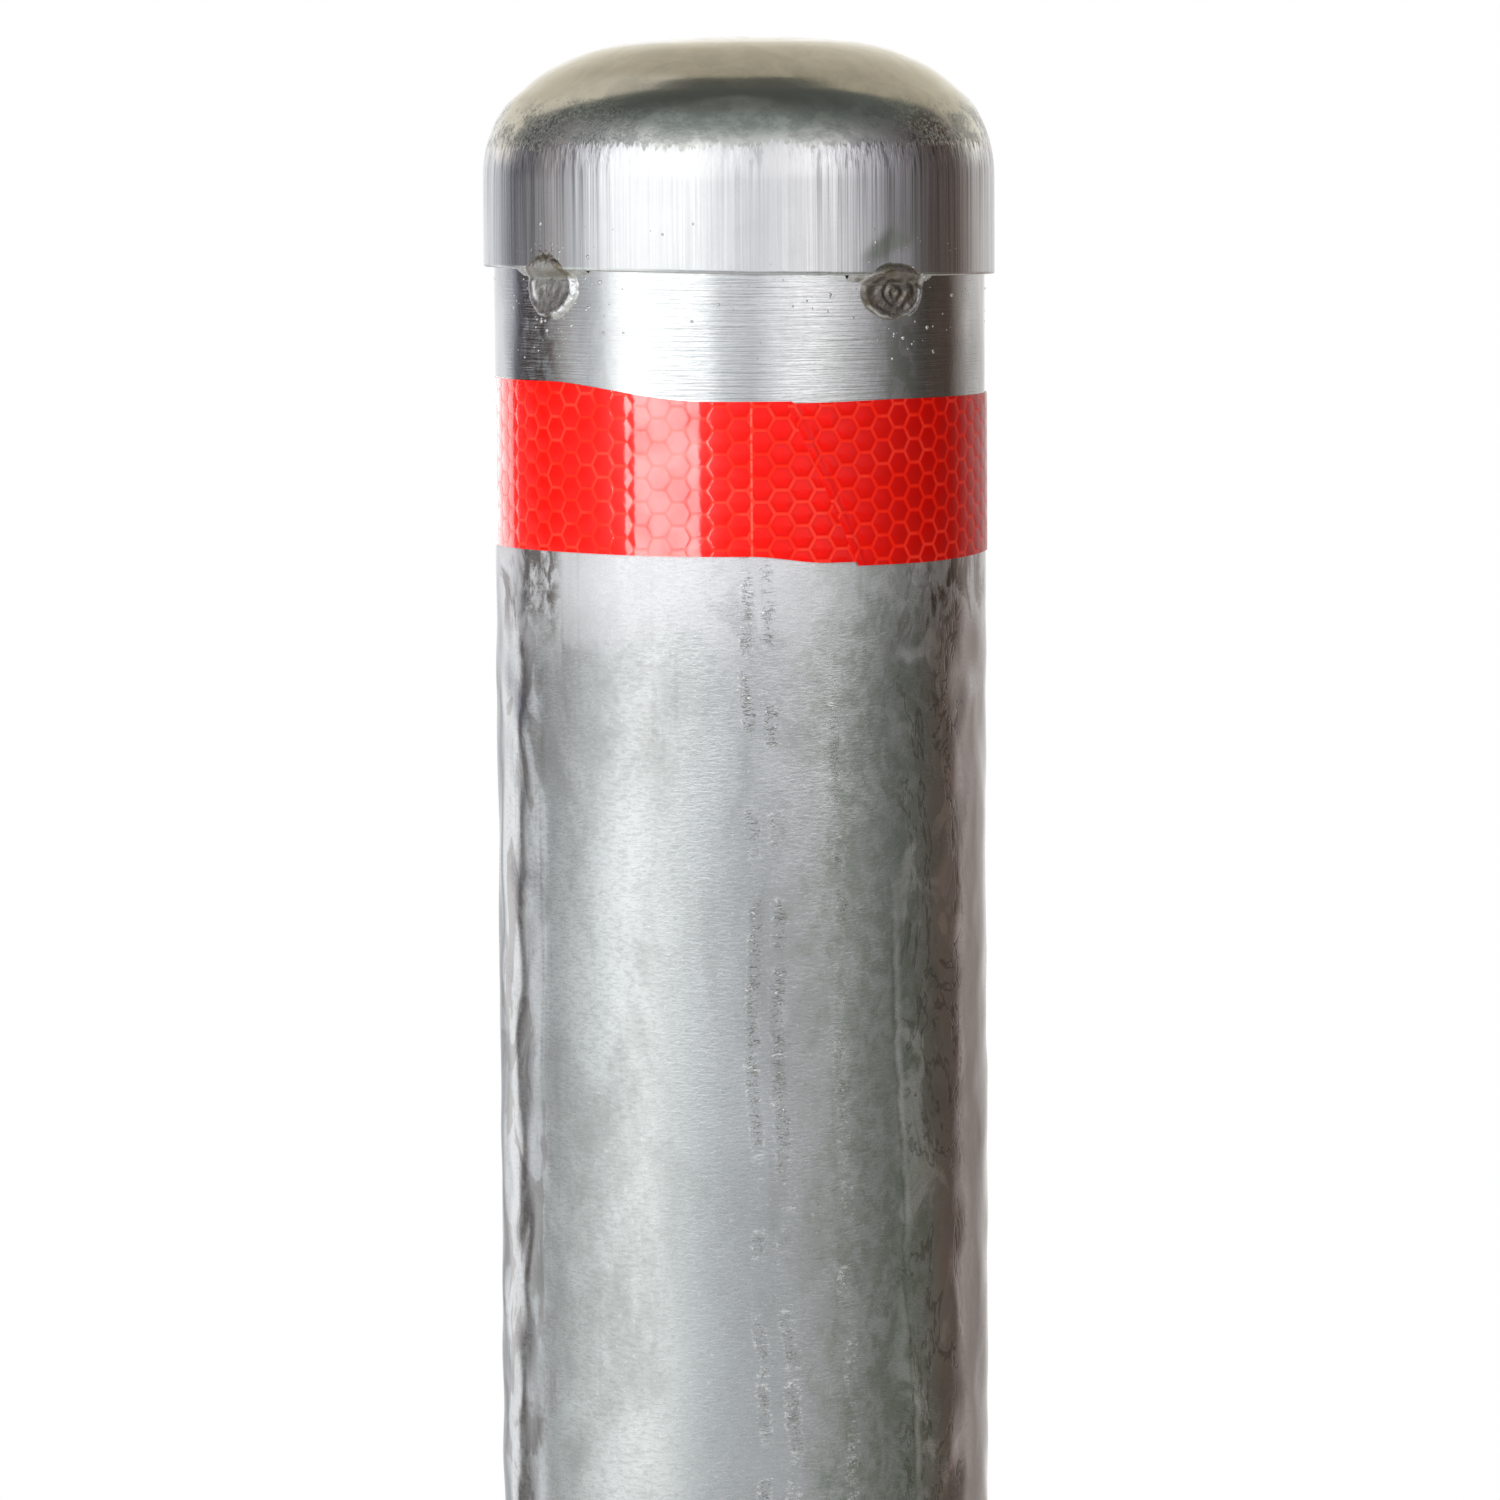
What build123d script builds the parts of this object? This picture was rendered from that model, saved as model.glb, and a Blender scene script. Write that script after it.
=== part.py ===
"""Surface-mounted steel safety bollard: a capped round tube on a square base plate.

Millimetres, +Z up. The origin is the centre of the base plate's underside, where it meets the
ground. The front of the bollard faces -Y. Angles round the post are counted from the front (-Y),
positive towards +X.
"""

import os
from math import atan2, cos, degrees, radians, sin, sqrt

from build123d import *

# Overall
overall_height = 1000.0  # ground to the crown of the cap

# Post tube: electric-resistance-welded round hollow section
tube_diameter = 139.7
tube_wall = 5.0
seam_angle = 6.0  # where the tube's own weld seam runs
flash_width = 3.0  # the bead that the seam leaves along the bore
flash_height = 0.8

# Pressed dome cap, a sleeve fit over the outside of the tube
cap_wall = 2.5
cap_clearance = 0.3  # radial, filled by the zinc coat
cap_height = 66.0  # lip to crown
crown_radius = 280.0  # outside of the dome's middle
knuckle_radius = 37.0  # outside of the dome's shoulder
lip_round = 0.6
seat_gap = 0.1  # zinc between the tube's rim and the inside of the cap

# Tack welds that hold the cap's lip to the tube
weld_names = ("front_left", "front_right", "back_right", "back_left")
weld_angles = (-48.0, 37.5, 131.0, 222.0)
weld_radius = 14.5  # radius of the nugget's rounded face
weld_proud = 1.2  # how far the nugget stands proud of the cap's skirt
weld_drop = 3.5  # nugget centre below the lip

# Reflective tape, one turn with a lapped end
tape_width = 46.0
tape_thickness = 0.4
tape_drop = 33.0  # lip of the cap to the tape's upper edge
tape_lap = 19.0  # length of the overlap, along the tape
tape_lap_angle = 2.0  # where the overlapping end stops

# Base plate
plate_size = 250.0
plate_thickness = 12.0
plate_corner = 12.0
plate_bevel = 1.0  # round the top's outer edge
anchor_hole_diameter = 18.0  # for M16 anchors
anchor_edge_distance = 30.0  # hole centre to the plate's edge
drain_diameter = 60.0  # lets molten zinc and rain water out of the tube

# Fillet weld round the foot of the tube
fillet_leg = 8.0
fillet_bulge = 0.8  # how far the bead's face stands proud of a straight bevel

# Sizes that follow from the ones above
tube_radius = tube_diameter / 2
bore_radius = tube_radius - tube_wall
cap_inner_radius = tube_radius + cap_clearance
cap_radius = cap_inner_radius + cap_wall
inner_knuckle = knuckle_radius - cap_wall
inner_crown = crown_radius - cap_wall
knuckle_centre = cap_radius - knuckle_radius  # distance of the shoulder's centre from the axis
lip_z = overall_height - cap_height
crown_centre_z = overall_height - crown_radius
shoulder_z = crown_centre_z + sqrt((crown_radius - knuckle_radius) ** 2 - knuckle_centre**2)
rim_rise = sqrt(inner_knuckle**2 - (tube_radius - knuckle_centre) ** 2)
tube_top_z = shoulder_z + rim_rise - seat_gap
tape_top_z = lip_z - tape_drop
anchor_spacing = plate_size - 2 * anchor_edge_distance


def upright_cylinder(radius, low_z, high_z):
    """A solid cylinder on the post's axis between two heights."""
    return Pos(0, 0, low_z) * Cylinder(radius, high_z - low_z, align=(Align.CENTER, Align.CENTER, Align.MIN))


def out_from_axis(angle, distance, height):
    """A point at this angle from the front, this far from the axis."""
    return (distance * sin(radians(angle)), -distance * cos(radians(angle)), height)


def post_tube():
    """The tube, with the flash bead that its seam leaves along the bore."""
    length = tube_top_z - plate_thickness
    bead_depth = flash_height + tube_wall / 2
    bead = Pos(0, flash_height - bore_radius, plate_thickness) * Box(
        flash_width, bead_depth, length, align=(Align.CENTER, Align.MAX, Align.MIN)
    )
    shell = upright_cylinder(tube_radius, plate_thickness, tube_top_z)
    shell -= upright_cylinder(bore_radius, plate_thickness, tube_top_z)
    return shell + Rot(0, 0, seam_angle) * bead


def dome_profile(radius, knuckle, crown, bottom_z):
    """Half section of a torispherical dome with a straight skirt, solid to the axis."""
    crown_z = crown_centre_z + crown
    tilt = degrees(atan2(knuckle_centre, shoulder_z - crown_centre_z))
    with BuildSketch(Plane.XZ) as section:
        with BuildLine():
            Line((radius, bottom_z), (radius, shoulder_z))
            CenterArc((knuckle_centre, shoulder_z), knuckle, 0, 90 - tilt)
            CenterArc((0, crown_centre_z), crown, 90 - tilt, tilt)
            Line((0, crown_z), (0, bottom_z))
            Line((0, bottom_z), (radius, bottom_z))
        make_face()
    return section.sketch


def dome_cap():
    """Pressed cap: torispherical dome of even wall with a straight skirt and a rounded lip."""
    outside = revolve(dome_profile(cap_radius, knuckle_radius, crown_radius, lip_z), Axis.Z)
    inside = revolve(dome_profile(cap_inner_radius, inner_knuckle, inner_crown, lip_z), Axis.Z)
    cap = outside - inside
    lip = cap.faces().sort_by(Axis.Z)[0].edges().sort_by(SortBy.RADIUS)[-1]
    return fillet(lip, min(lip_round, cap_wall / 4))


def cap_weld(angle):
    """One tack weld: a rounded nugget in the corner between the tube and the cap's lip."""
    centre = out_from_axis(angle, cap_radius + weld_proud - weld_radius, lip_z - weld_drop)
    reach = 2 * weld_radius
    nugget = Pos(*centre) * Sphere(weld_radius)
    nugget -= upright_cylinder(tube_radius, lip_z - reach, lip_z + reach)
    return nugget - upright_cylinder(cap_radius, lip_z, lip_z + reach)


def tape_layer(inner_radius, start_angle, sweep):
    """A length of tape laid on a cylinder of this radius."""
    low_z = tape_top_z - tape_width
    layer = upright_cylinder(inner_radius + tape_thickness, low_z, tape_top_z)
    layer -= upright_cylinder(inner_radius, low_z, tape_top_z)
    if sweep >= 360:
        return layer
    far = 2 * (inner_radius + tape_thickness)
    wedge_corners = [(0, 0)]
    for edge_angle in (start_angle, start_angle + sweep):
        x, y, _ = out_from_axis(edge_angle, far, 0)
        wedge_corners.append((x, y))
    wedge = extrude(Pos(0, 0, low_z) * make_face(Polyline(*wedge_corners, close=True)), tape_width)
    return layer & wedge


def reflective_tape():
    """One turn of tape with its end lapped over its start."""
    lap_sweep = degrees(tape_lap / (tube_radius + tape_thickness))
    turn = tape_layer(tube_radius, 0, 360)
    return turn + tape_layer(tube_radius + tape_thickness, tape_lap_angle, lap_sweep)


def base_plate():
    """Square plate with rounded corners, four anchor holes and a drain hole under the tube."""
    outline = RectangleRounded(plate_size, plate_size, plate_corner)
    outline -= GridLocations(anchor_spacing, anchor_spacing, 2, 2) * Circle(anchor_hole_diameter / 2)
    outline -= Circle(drain_diameter / 2)
    plate = extrude(outline, plate_thickness)
    rim = plate.faces().sort_by(Axis.Z)[-1].outer_wire().edges()
    return chamfer(rim, plate_bevel)


def base_weld():
    """Continuous fillet bead between the tube's foot and the plate."""
    toe = (tube_radius + fillet_leg, plate_thickness)
    top = (tube_radius, plate_thickness + fillet_leg)
    middle = (
        tube_radius + fillet_leg / 2 + fillet_bulge / sqrt(2),
        plate_thickness + fillet_leg / 2 + fillet_bulge / sqrt(2),
    )
    root = (tube_radius, plate_thickness)
    with BuildSketch(Plane.XZ) as section:
        with BuildLine():
            ThreePointArc(toe, middle, top)
            Polyline(top, root, toe)
        make_face()
    return revolve(section.sketch, Axis.Z)


parts = {
    "post_tube": post_tube(),
    "dome_cap": dome_cap(),
    "reflective_tape": reflective_tape(),
    "base_plate": base_plate(),
    "base_weld": base_weld(),
}
for name, angle in zip(weld_names, weld_angles):
    parts[f"cap_weld_{name}"] = cap_weld(angle)

os.makedirs("parts", exist_ok=True)
for name, shape in parts.items():
    export_step(shape, f"parts/{name}.step")
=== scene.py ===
"""Steel safety bollard: a galvanised tube, a pressed dome cap, tack welds, reflective tape and a base plate.

Every piece is made round the packed model's own sizes, in metres. Angles round the post are counted from
the front (-Y), positive towards +X. On a patch of its surface, `across` is the distance round the post and
`up` the distance above a given height.
"""

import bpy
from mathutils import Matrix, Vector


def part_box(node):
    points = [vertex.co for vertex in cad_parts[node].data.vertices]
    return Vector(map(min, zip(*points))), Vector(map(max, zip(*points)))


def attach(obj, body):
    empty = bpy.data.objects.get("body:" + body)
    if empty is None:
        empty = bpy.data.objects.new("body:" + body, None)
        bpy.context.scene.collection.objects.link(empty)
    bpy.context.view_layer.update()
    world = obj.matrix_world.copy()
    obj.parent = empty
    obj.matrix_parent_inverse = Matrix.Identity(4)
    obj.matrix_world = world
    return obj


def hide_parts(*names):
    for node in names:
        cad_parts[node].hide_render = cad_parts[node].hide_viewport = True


bl_info = {
    "name": "Safety Bollard",
    "version": (1, 0, 0),
    "blender": (4, 5, 0),
    "location": "View3D > Sidebar > Bollard",
    "description": "Builds a galvanised steel safety bollard round its CAD frame",
    "category": "Add Mesh",
}

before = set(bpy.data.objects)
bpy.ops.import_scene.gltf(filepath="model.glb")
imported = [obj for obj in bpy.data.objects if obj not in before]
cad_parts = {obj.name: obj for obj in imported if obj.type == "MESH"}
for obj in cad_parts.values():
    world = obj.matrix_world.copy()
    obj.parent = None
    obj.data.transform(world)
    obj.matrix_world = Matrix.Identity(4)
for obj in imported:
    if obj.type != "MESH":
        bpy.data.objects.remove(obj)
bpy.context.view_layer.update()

import random
from math import atan2, cos, exp, floor, hypot, pi, radians, sin, sqrt

import bmesh
import bpy
from bpy.props import FloatProperty, FloatVectorProperty, IntProperty, PointerProperty
from mathutils import Matrix, Vector, noise

TUBE_LOW, TUBE_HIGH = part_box("post_tube")
CAP_LOW, CAP_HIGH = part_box("dome_cap")
TAPE_LOW, TAPE_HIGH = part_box("reflective_tape")
BEAD_LOW, BEAD_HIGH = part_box("base_weld")

TUBE_RADIUS = TUBE_HIGH.x
CAP_RADIUS = CAP_HIGH.x
LIP_Z = CAP_LOW.z
CROWN_Z = CAP_HIGH.z
POST_AXIS = Vector((0, 0, 1))
MM = 0.001
FILM_STRETCH = 1.004  # length along the tape's face for each length along the tube
TAPE_GLUE = 0.00012  # under the tape
LAP_GLUE = 0.00003  # between the tape's two layers
FOOT_WELD_STEPS = 900  # round the foot weld, fine enough for its ripples
TRACK_HEIGHT = 0.72  # where the lines down the tube cross their stated angles

# Tones that are part of one finish only
GREENISH_ZINC = (0.37, 0.41, 0.35, 1.0)
BROWN_BLOTCH = (0.30, 0.275, 0.265, 1.0)
CRACK_SHADE = (0.16, 0.14, 0.125, 1.0)
HAZE_AND_HIGHLIGHT_WHITE = (0.74, 0.73, 0.765, 1.0)
BLUE_SPECK = (0.14, 0.19, 0.22, 1.0)
KHAKI_BLOT = (0.62, 0.55, 0.42, 1.0)
SHOULDER_SHADE = (0.26, 0.27, 0.26, 1.0)
STRAW_HEAT = (0.24, 0.205, 0.13, 1.0)
GLINT_AND_JOIN_PALE = (1.0, 0.17, 0.11, 1.0)


# ---- Sizes and colours ----------------------------------------------------------------------------


def length(name, description, default):
    """A length setting, in metres."""
    return FloatProperty(name=name, description=description, default=default, unit="LENGTH", precision=5)


def angle(name, description, degrees_default):
    """An angle setting, given here in degrees and kept in radians."""
    return FloatProperty(
        name=name, description=description, default=radians(degrees_default), subtype="ANGLE"
    )


def colour(name, description, default):
    """A colour setting."""
    return FloatVectorProperty(name=name, description=description, default=default, subtype="COLOR", size=3)


class BollardTube(bpy.types.PropertyGroup):
    """The post's tube."""

    wall: length("Wall", "Thickness of the tube's wall", 0.005)
    rim_round: length("Rim round", "Chamfer on the outer edge of both ends", 0.0005)
    ripple: length("Ripple", "Height of the slow waves in the rolled and dipped surface", 0.00016)
    side_ripple: length("Side ripple", "Height of the dents down the tube's left and right sides", 0.00062)
    seam: angle("Seam", "Where the tube's own weld seam runs", 6.0)
    seam_height: length("Seam height", "Height of the bead along the bore", 0.0008)
    turns: IntProperty(name="Segments", description="Segments round the tube", default=224)
    rows: IntProperty(name="Rows", description="Rows of faces along the tube", default=300)


class BollardCap(bpy.types.PropertyGroup):
    """The pressed dome cap."""

    wall: length("Wall", "Thickness of the pressed sheet", 0.0025)
    crown_radius: length("Crown radius", "Outside radius of the dome's middle", 0.280)
    knuckle_radius: length("Knuckle radius", "Outside radius of the dome's shoulder", 0.037)
    crown_tilt: FloatProperty(
        name="Crown tilt", description="How far the crown leans, as a slope", default=0.007
    )
    shoulder_dip: length("Shoulder dip", "How far pressing has flattened the shoulder", 0.0015)
    lip_slant: length("Lip slant", "How far the lip runs out of square, either side", 0.00145)
    ground_depth: length("Ground depth", "Depth of the flat ground on the skirt above one weld", 0.00045)
    lip_round: length("Lip round", "Rounding of the lip's outer edge", 0.0005)
    drawn_height: length("Drawn height", "Height of the band with drawing marks, above the lip", 0.0352)
    turns: IntProperty(name="Segments", description="Segments round the cap", default=256)


class BollardWelds(bpy.types.PropertyGroup):
    """The tack welds under the cap's lip and the spatter round them."""

    front_left: angle("Front left", "Where this weld sits round the post", -48.5)
    front_right: angle("Front right", "Where this weld sits round the post", 37.0)
    back_right: angle("Back right", "Where this weld sits round the post", 131.0)
    back_left: angle("Back left", "Where this weld sits round the post", 222.0)
    grain: length("Grain", "Size of the mesh on a weld", 0.00032)
    spatter: IntProperty(name="Spatter", description="Number of spatter beads", default=460)


class BollardTape(bpy.types.PropertyGroup):
    """The reflective tape."""

    thickness: length("Thickness", "Thickness of the tape", 0.0004)
    cell_side: length("Cell side", "Side of one honeycomb cell", 0.0038)
    pillow: length("Pillow", "How far the film domes over a cell", 0.00005)
    lap_angle: angle("Lap", "Where the upper layer's end sits at mid height", 19.0)
    lap_slant: angle("Lap slant", "How far the end leans from bottom to top", -17.0)
    lap: angle("Overlap", "How far the tape laps over itself", 1.3)
    mesh_size: length("Mesh size", "Size of the mesh on the tape", 0.0008)


class BollardBase(bpy.types.PropertyGroup):
    """The base plate and the weld round the foot of the tube."""

    edge_round: length("Edge round", "Rounding that the zinc leaves on the plate's edges", 0.0008)
    ripple_pitch: length("Ripple pitch", "Distance from one weld ripple to the next", 0.0024)
    ripple_height: length("Ripple height", "Height of the weld's ripples", 0.00028)


class BollardFinish(bpy.types.PropertyGroup):
    """Colours of the finishes."""

    zinc: colour("Zinc", "Clean, bright zinc", (0.72, 0.73, 0.735))
    dull_zinc: colour("Dull zinc", "Weathered patches of zinc", (0.50, 0.515, 0.51))
    stain: colour("Stain", "Dark handling and rust-brown stains", (0.20, 0.165, 0.145))
    dome: colour("Dome", "Smooth, faintly oxidised steel of the dome", (0.66, 0.67, 0.64))
    weld: colour("Weld", "Dark, oxidised weld metal", (0.25, 0.225, 0.205))
    tape_cell: colour("Tape cell", "Red of the reflective cells", (1.0, 0.004, 0.0006))
    tape_line: colour("Tape line", "Red of the seal lines between the cells", (0.98, 0.022, 0.006))


class BollardStudio(bpy.types.PropertyGroup):
    """Camera, lights and floor."""

    distance: length("Distance", "Camera to the post's axis, level", 1.88)
    lens: FloatProperty(
        name="Lens", description="Focal length in millimetres on a 36 mm sensor", default=158.2
    )
    above_lip: length("Height above lip", "Camera height above the cap's lip", 0.033)
    pitch: angle("Pitch", "Camera tilt below level", 5.175)
    roll: angle("Roll", "Camera roll", -0.335)
    aim: length("Aim", "How far right of the axis the camera points", 0.0023)
    key: FloatProperty(name="Key", description="Power of the soft key light, in watts", default=62.0)
    key_turn: angle("Key turn", "Where the key light and the film's main light stand round the post", -35.0)
    glint: FloatProperty(
        name="Glint", description="Power of the light on the tape's film, in watts", default=340.0
    )
    edge_glint: FloatProperty(
        name="Edge glint", description="Power of the light on the film's left edge, in watts", default=58.0
    )
    floor_radius: length("Floor", "Radius of the pale floor", 2.6)


SETTINGS = {
    "bollard_tube": BollardTube,
    "bollard_cap": BollardCap,
    "bollard_welds": BollardWelds,
    "bollard_tape": BollardTape,
    "bollard_base": BollardBase,
    "bollard_finish": BollardFinish,
    "bollard_studio": BollardStudio,
}


# ---- Small shape helpers --------------------------------------------------------------------------


def round_post(turn, radius, height):
    """The point at this angle from the front, this far from the axis."""
    return Vector((radius * sin(turn), -radius * cos(turn), height))


def turn_of(point):
    """The angle of a point from the front, positive towards +X."""
    return atan2(point.x, -point.y)


def set_radius(point, radius):
    """Moves a point straight out to this distance from the axis."""
    scale = radius / hypot(point.x, point.y)
    point.x *= scale
    point.y *= scale


def ease(low, high, value):
    """0 below low, 1 above high and smooth between. Runs down where low is above high."""
    t = min(max((value - low) / (high - low), 0.0), 1.0)
    return t * t * (3 - 2 * t)


def ridge(distance, width):
    """A smooth ridge: 1 on its line, fading over this width."""
    return exp(-((distance / width) ** 2))


def wander(point, size, seed=0.0):
    """Smooth noise from -1 to 1 whose lumps are about this size."""
    return noise.noise(point / size + Vector((seed, seed * 1.7, -seed)))


def wrap(turn):
    """An angle brought between -180 and 180 degrees."""
    return (turn + pi) % (2 * pi) - pi


def line_of_points(bm, corners):
    """Vertices at these (radius, height) pairs on the +X side, joined one after another."""
    verts = [bm.verts.new((radius, 0.0, height)) for radius, height in corners]
    edges = [bm.edges.new(pair) for pair in zip(verts, verts[1:])]
    return verts, edges


def spin_round_post(bm, turns):
    """Spins everything in the mesh a full turn round the post, facing outwards."""
    everything = bm.verts[:] + bm.edges[:]
    bmesh.ops.spin(
        bm,
        geom=everything,
        cent=(0, 0, 0),
        axis=POST_AXIS,
        dvec=(0, 0, 0),
        angle=2 * pi,
        steps=turns,
        use_merge=True,
    )
    bmesh.ops.remove_doubles(bm, verts=bm.verts, dist=1e-6)
    bmesh.ops.recalc_face_normals(bm, faces=bm.faces)


def finish_piece(bm, name, nodes, material, sharp=40.0):
    """Turns a bmesh into a finished piece that rides on the post and stands for its CAD nodes."""
    for face in bm.faces:
        face.smooth = True
    for edge in bm.edges:
        if len(edge.link_faces) == 2 and edge.calc_face_angle(0.0) > radians(sharp):
            edge.smooth = False
    mesh = bpy.data.meshes.new(name)
    bm.to_mesh(mesh)
    bm.free()
    mesh.materials.append(material)
    piece = bpy.data.objects.new(name, mesh)
    bpy.context.scene.collection.objects.link(piece)
    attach(piece, "root")
    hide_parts(*nodes)
    return piece


# ---- Materials ------------------------------------------------------------------------------------


class Recipe:
    """A node tree put together one node at a time."""

    def __init__(self, tree):
        self.tree = tree
        tree.nodes.clear()

    def node(self, kind, feeds=None, **settings):
        """Adds a node, sets it up, and feeds its inputs with values or other nodes' outputs."""
        made = self.tree.nodes.new(kind)
        for key, value in settings.items():
            setattr(made, key, value)
        for key, value in (feeds or {}).items():
            self.feed(made.inputs[key], value)
        return made

    def feed(self, socket, value):
        """Links an output to a socket, or sets the socket's own value."""
        if isinstance(value, bpy.types.NodeSocket):
            self.tree.links.new(value, socket)
        else:
            socket.default_value = value

    def math(self, operation, *values):
        """A sum on numbers."""
        return self.node("ShaderNodeMath", dict(enumerate(values)), operation=operation).outputs[0]

    def times(self, first, second):
        """The product of two numbers."""
        return self.math("MULTIPLY", first, second)

    def larger(self, first, second):
        """The larger of two numbers."""
        return self.math("MAXIMUM", first, second)

    def without(self, share):
        """What a share from 0 to 1 leaves over."""
        return self.math("SUBTRACT", 1.0, share)

    def turn_of(self, x, y):
        """The angle round the post from the front, positive towards +X."""
        return self.math("ARCTAN2", x, self.times(y, -1.0))

    def vector(self, operation, *values):
        """A sum on vectors."""
        made = self.node("ShaderNodeVectorMath", dict(enumerate(values)), operation=operation)
        return made.outputs["Value" if operation in ("DOT_PRODUCT", "LENGTH") else "Vector"]

    def stretch(self, coords, scale, turn=(0.0, 0.0, 0.0)):
        """Coordinates scaled along each axis, to lengthen or squeeze a pattern."""
        feeds = {"Vector": coords, "Scale": scale, "Rotation": turn}
        return self.node("ShaderNodeMapping", feeds).outputs[0]

    def noise(self, coords, scale, detail=3.0, roughness=0.55, distortion=0.0):
        """Cloudy noise from 0 to 1, about 0.5."""
        feeds = {
            "Vector": coords,
            "Scale": scale,
            "Detail": detail,
            "Roughness": roughness,
            "Distortion": distortion,
        }
        return self.node("ShaderNodeTexNoise", feeds).outputs["Fac"]

    def stretched_noise(self, coords, scale, *look, turn=(0.0, 0.0, 0.0)):
        """Noise lengthened or squeezed along each axis: `look` is its detail, roughness and distortion."""
        return self.noise(self.stretch(coords, scale, turn), 1.0, *look)

    def cells(self, coords, scale, feature="F1"):
        """Voronoi cells: distance and a random colour for each."""
        return self.node("ShaderNodeTexVoronoi", {"Vector": coords, "Scale": scale}, feature=feature)

    def between(self, value, low, high, bottom=0.0, top=1.0, smooth=True):
        """Carries low..high onto bottom..top and holds it there."""
        feeds = {"Value": value, "From Min": low, "From Max": high, "To Min": bottom, "To Max": top}
        kind = "SMOOTHSTEP" if smooth else "LINEAR"
        return self.node("ShaderNodeMapRange", feeds, interpolation_type=kind).outputs[0]

    def blend(self, share, first, second):
        """Mixes two colours."""
        made = self.node("ShaderNodeMix", data_type="RGBA")
        for index, value in ((0, share), (6, first), (7, second)):
            self.feed(made.inputs[index], value)
        return made.outputs[2]

    def ramp(self, value, stops):
        """A colour that follows a value through stops of (place, colour)."""
        made = self.node("ShaderNodeValToRGB", {"Fac": value})
        elements = made.color_ramp.elements
        while len(elements) < len(stops):
            elements.new(0.5)
        for element, (place, tint) in zip(elements, stops):
            element.position = place
            element.color = (*tint, 1.0)
        return made.outputs["Color"]

    def parts(self, vector):
        """The three parts of a vector."""
        return self.node("ShaderNodeSeparateXYZ", {0: vector}).outputs[:]

    def join(self, x, y, z=0.0):
        """A vector from three numbers."""
        return self.node("ShaderNodeCombineXYZ", {0: x, 1: y, 2: z}).outputs[0]

    def sum_of(self, *values):
        """Several numbers added up."""
        total = values[0]
        for value in values[1:]:
            total = self.math("ADD", total, value)
        return total

    def bump(self, height, distance, strength=1.0, normal=None):
        """A bump normal from a height of 0 to 1 and how deep that is in metres."""
        made = self.node("ShaderNodeBump", {"Height": height, "Distance": distance, "Strength": strength})
        if normal is not None:
            self.feed(made.inputs["Normal"], normal)
        return made.outputs[0]


def rgba(tint, scale=1.0):
    """A colour with its alpha."""
    return (tint[0] * scale, tint[1] * scale, tint[2] * scale, 1.0)


def new_material(name):
    """A material, its recipe, its shader and its Object coordinates."""
    material = bpy.data.materials.new(name)
    material.use_nodes = True
    recipe = Recipe(material.node_tree)
    shader = recipe.node("ShaderNodeBsdfPrincipled")
    recipe.node("ShaderNodeOutputMaterial", {"Surface": shader.outputs[0]})
    coords = recipe.node("ShaderNodeTexCoord").outputs["Object"]
    return material, recipe, shader, coords


def zinc_grain(recipe, coords):
    """The fine crystal grain of the zinc: short level dashes with brighter and darker specks."""
    dashes = recipe.stretched_noise(coords, (400.0, 400.0, 1250.0), 3.0, 0.62, 0.6, turn=(0.0, 0.12, 0.0))
    specks = recipe.stretched_noise(coords, (900.0, 900.0, 900.0), 2.0, 0.5)
    return dashes, specks


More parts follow.
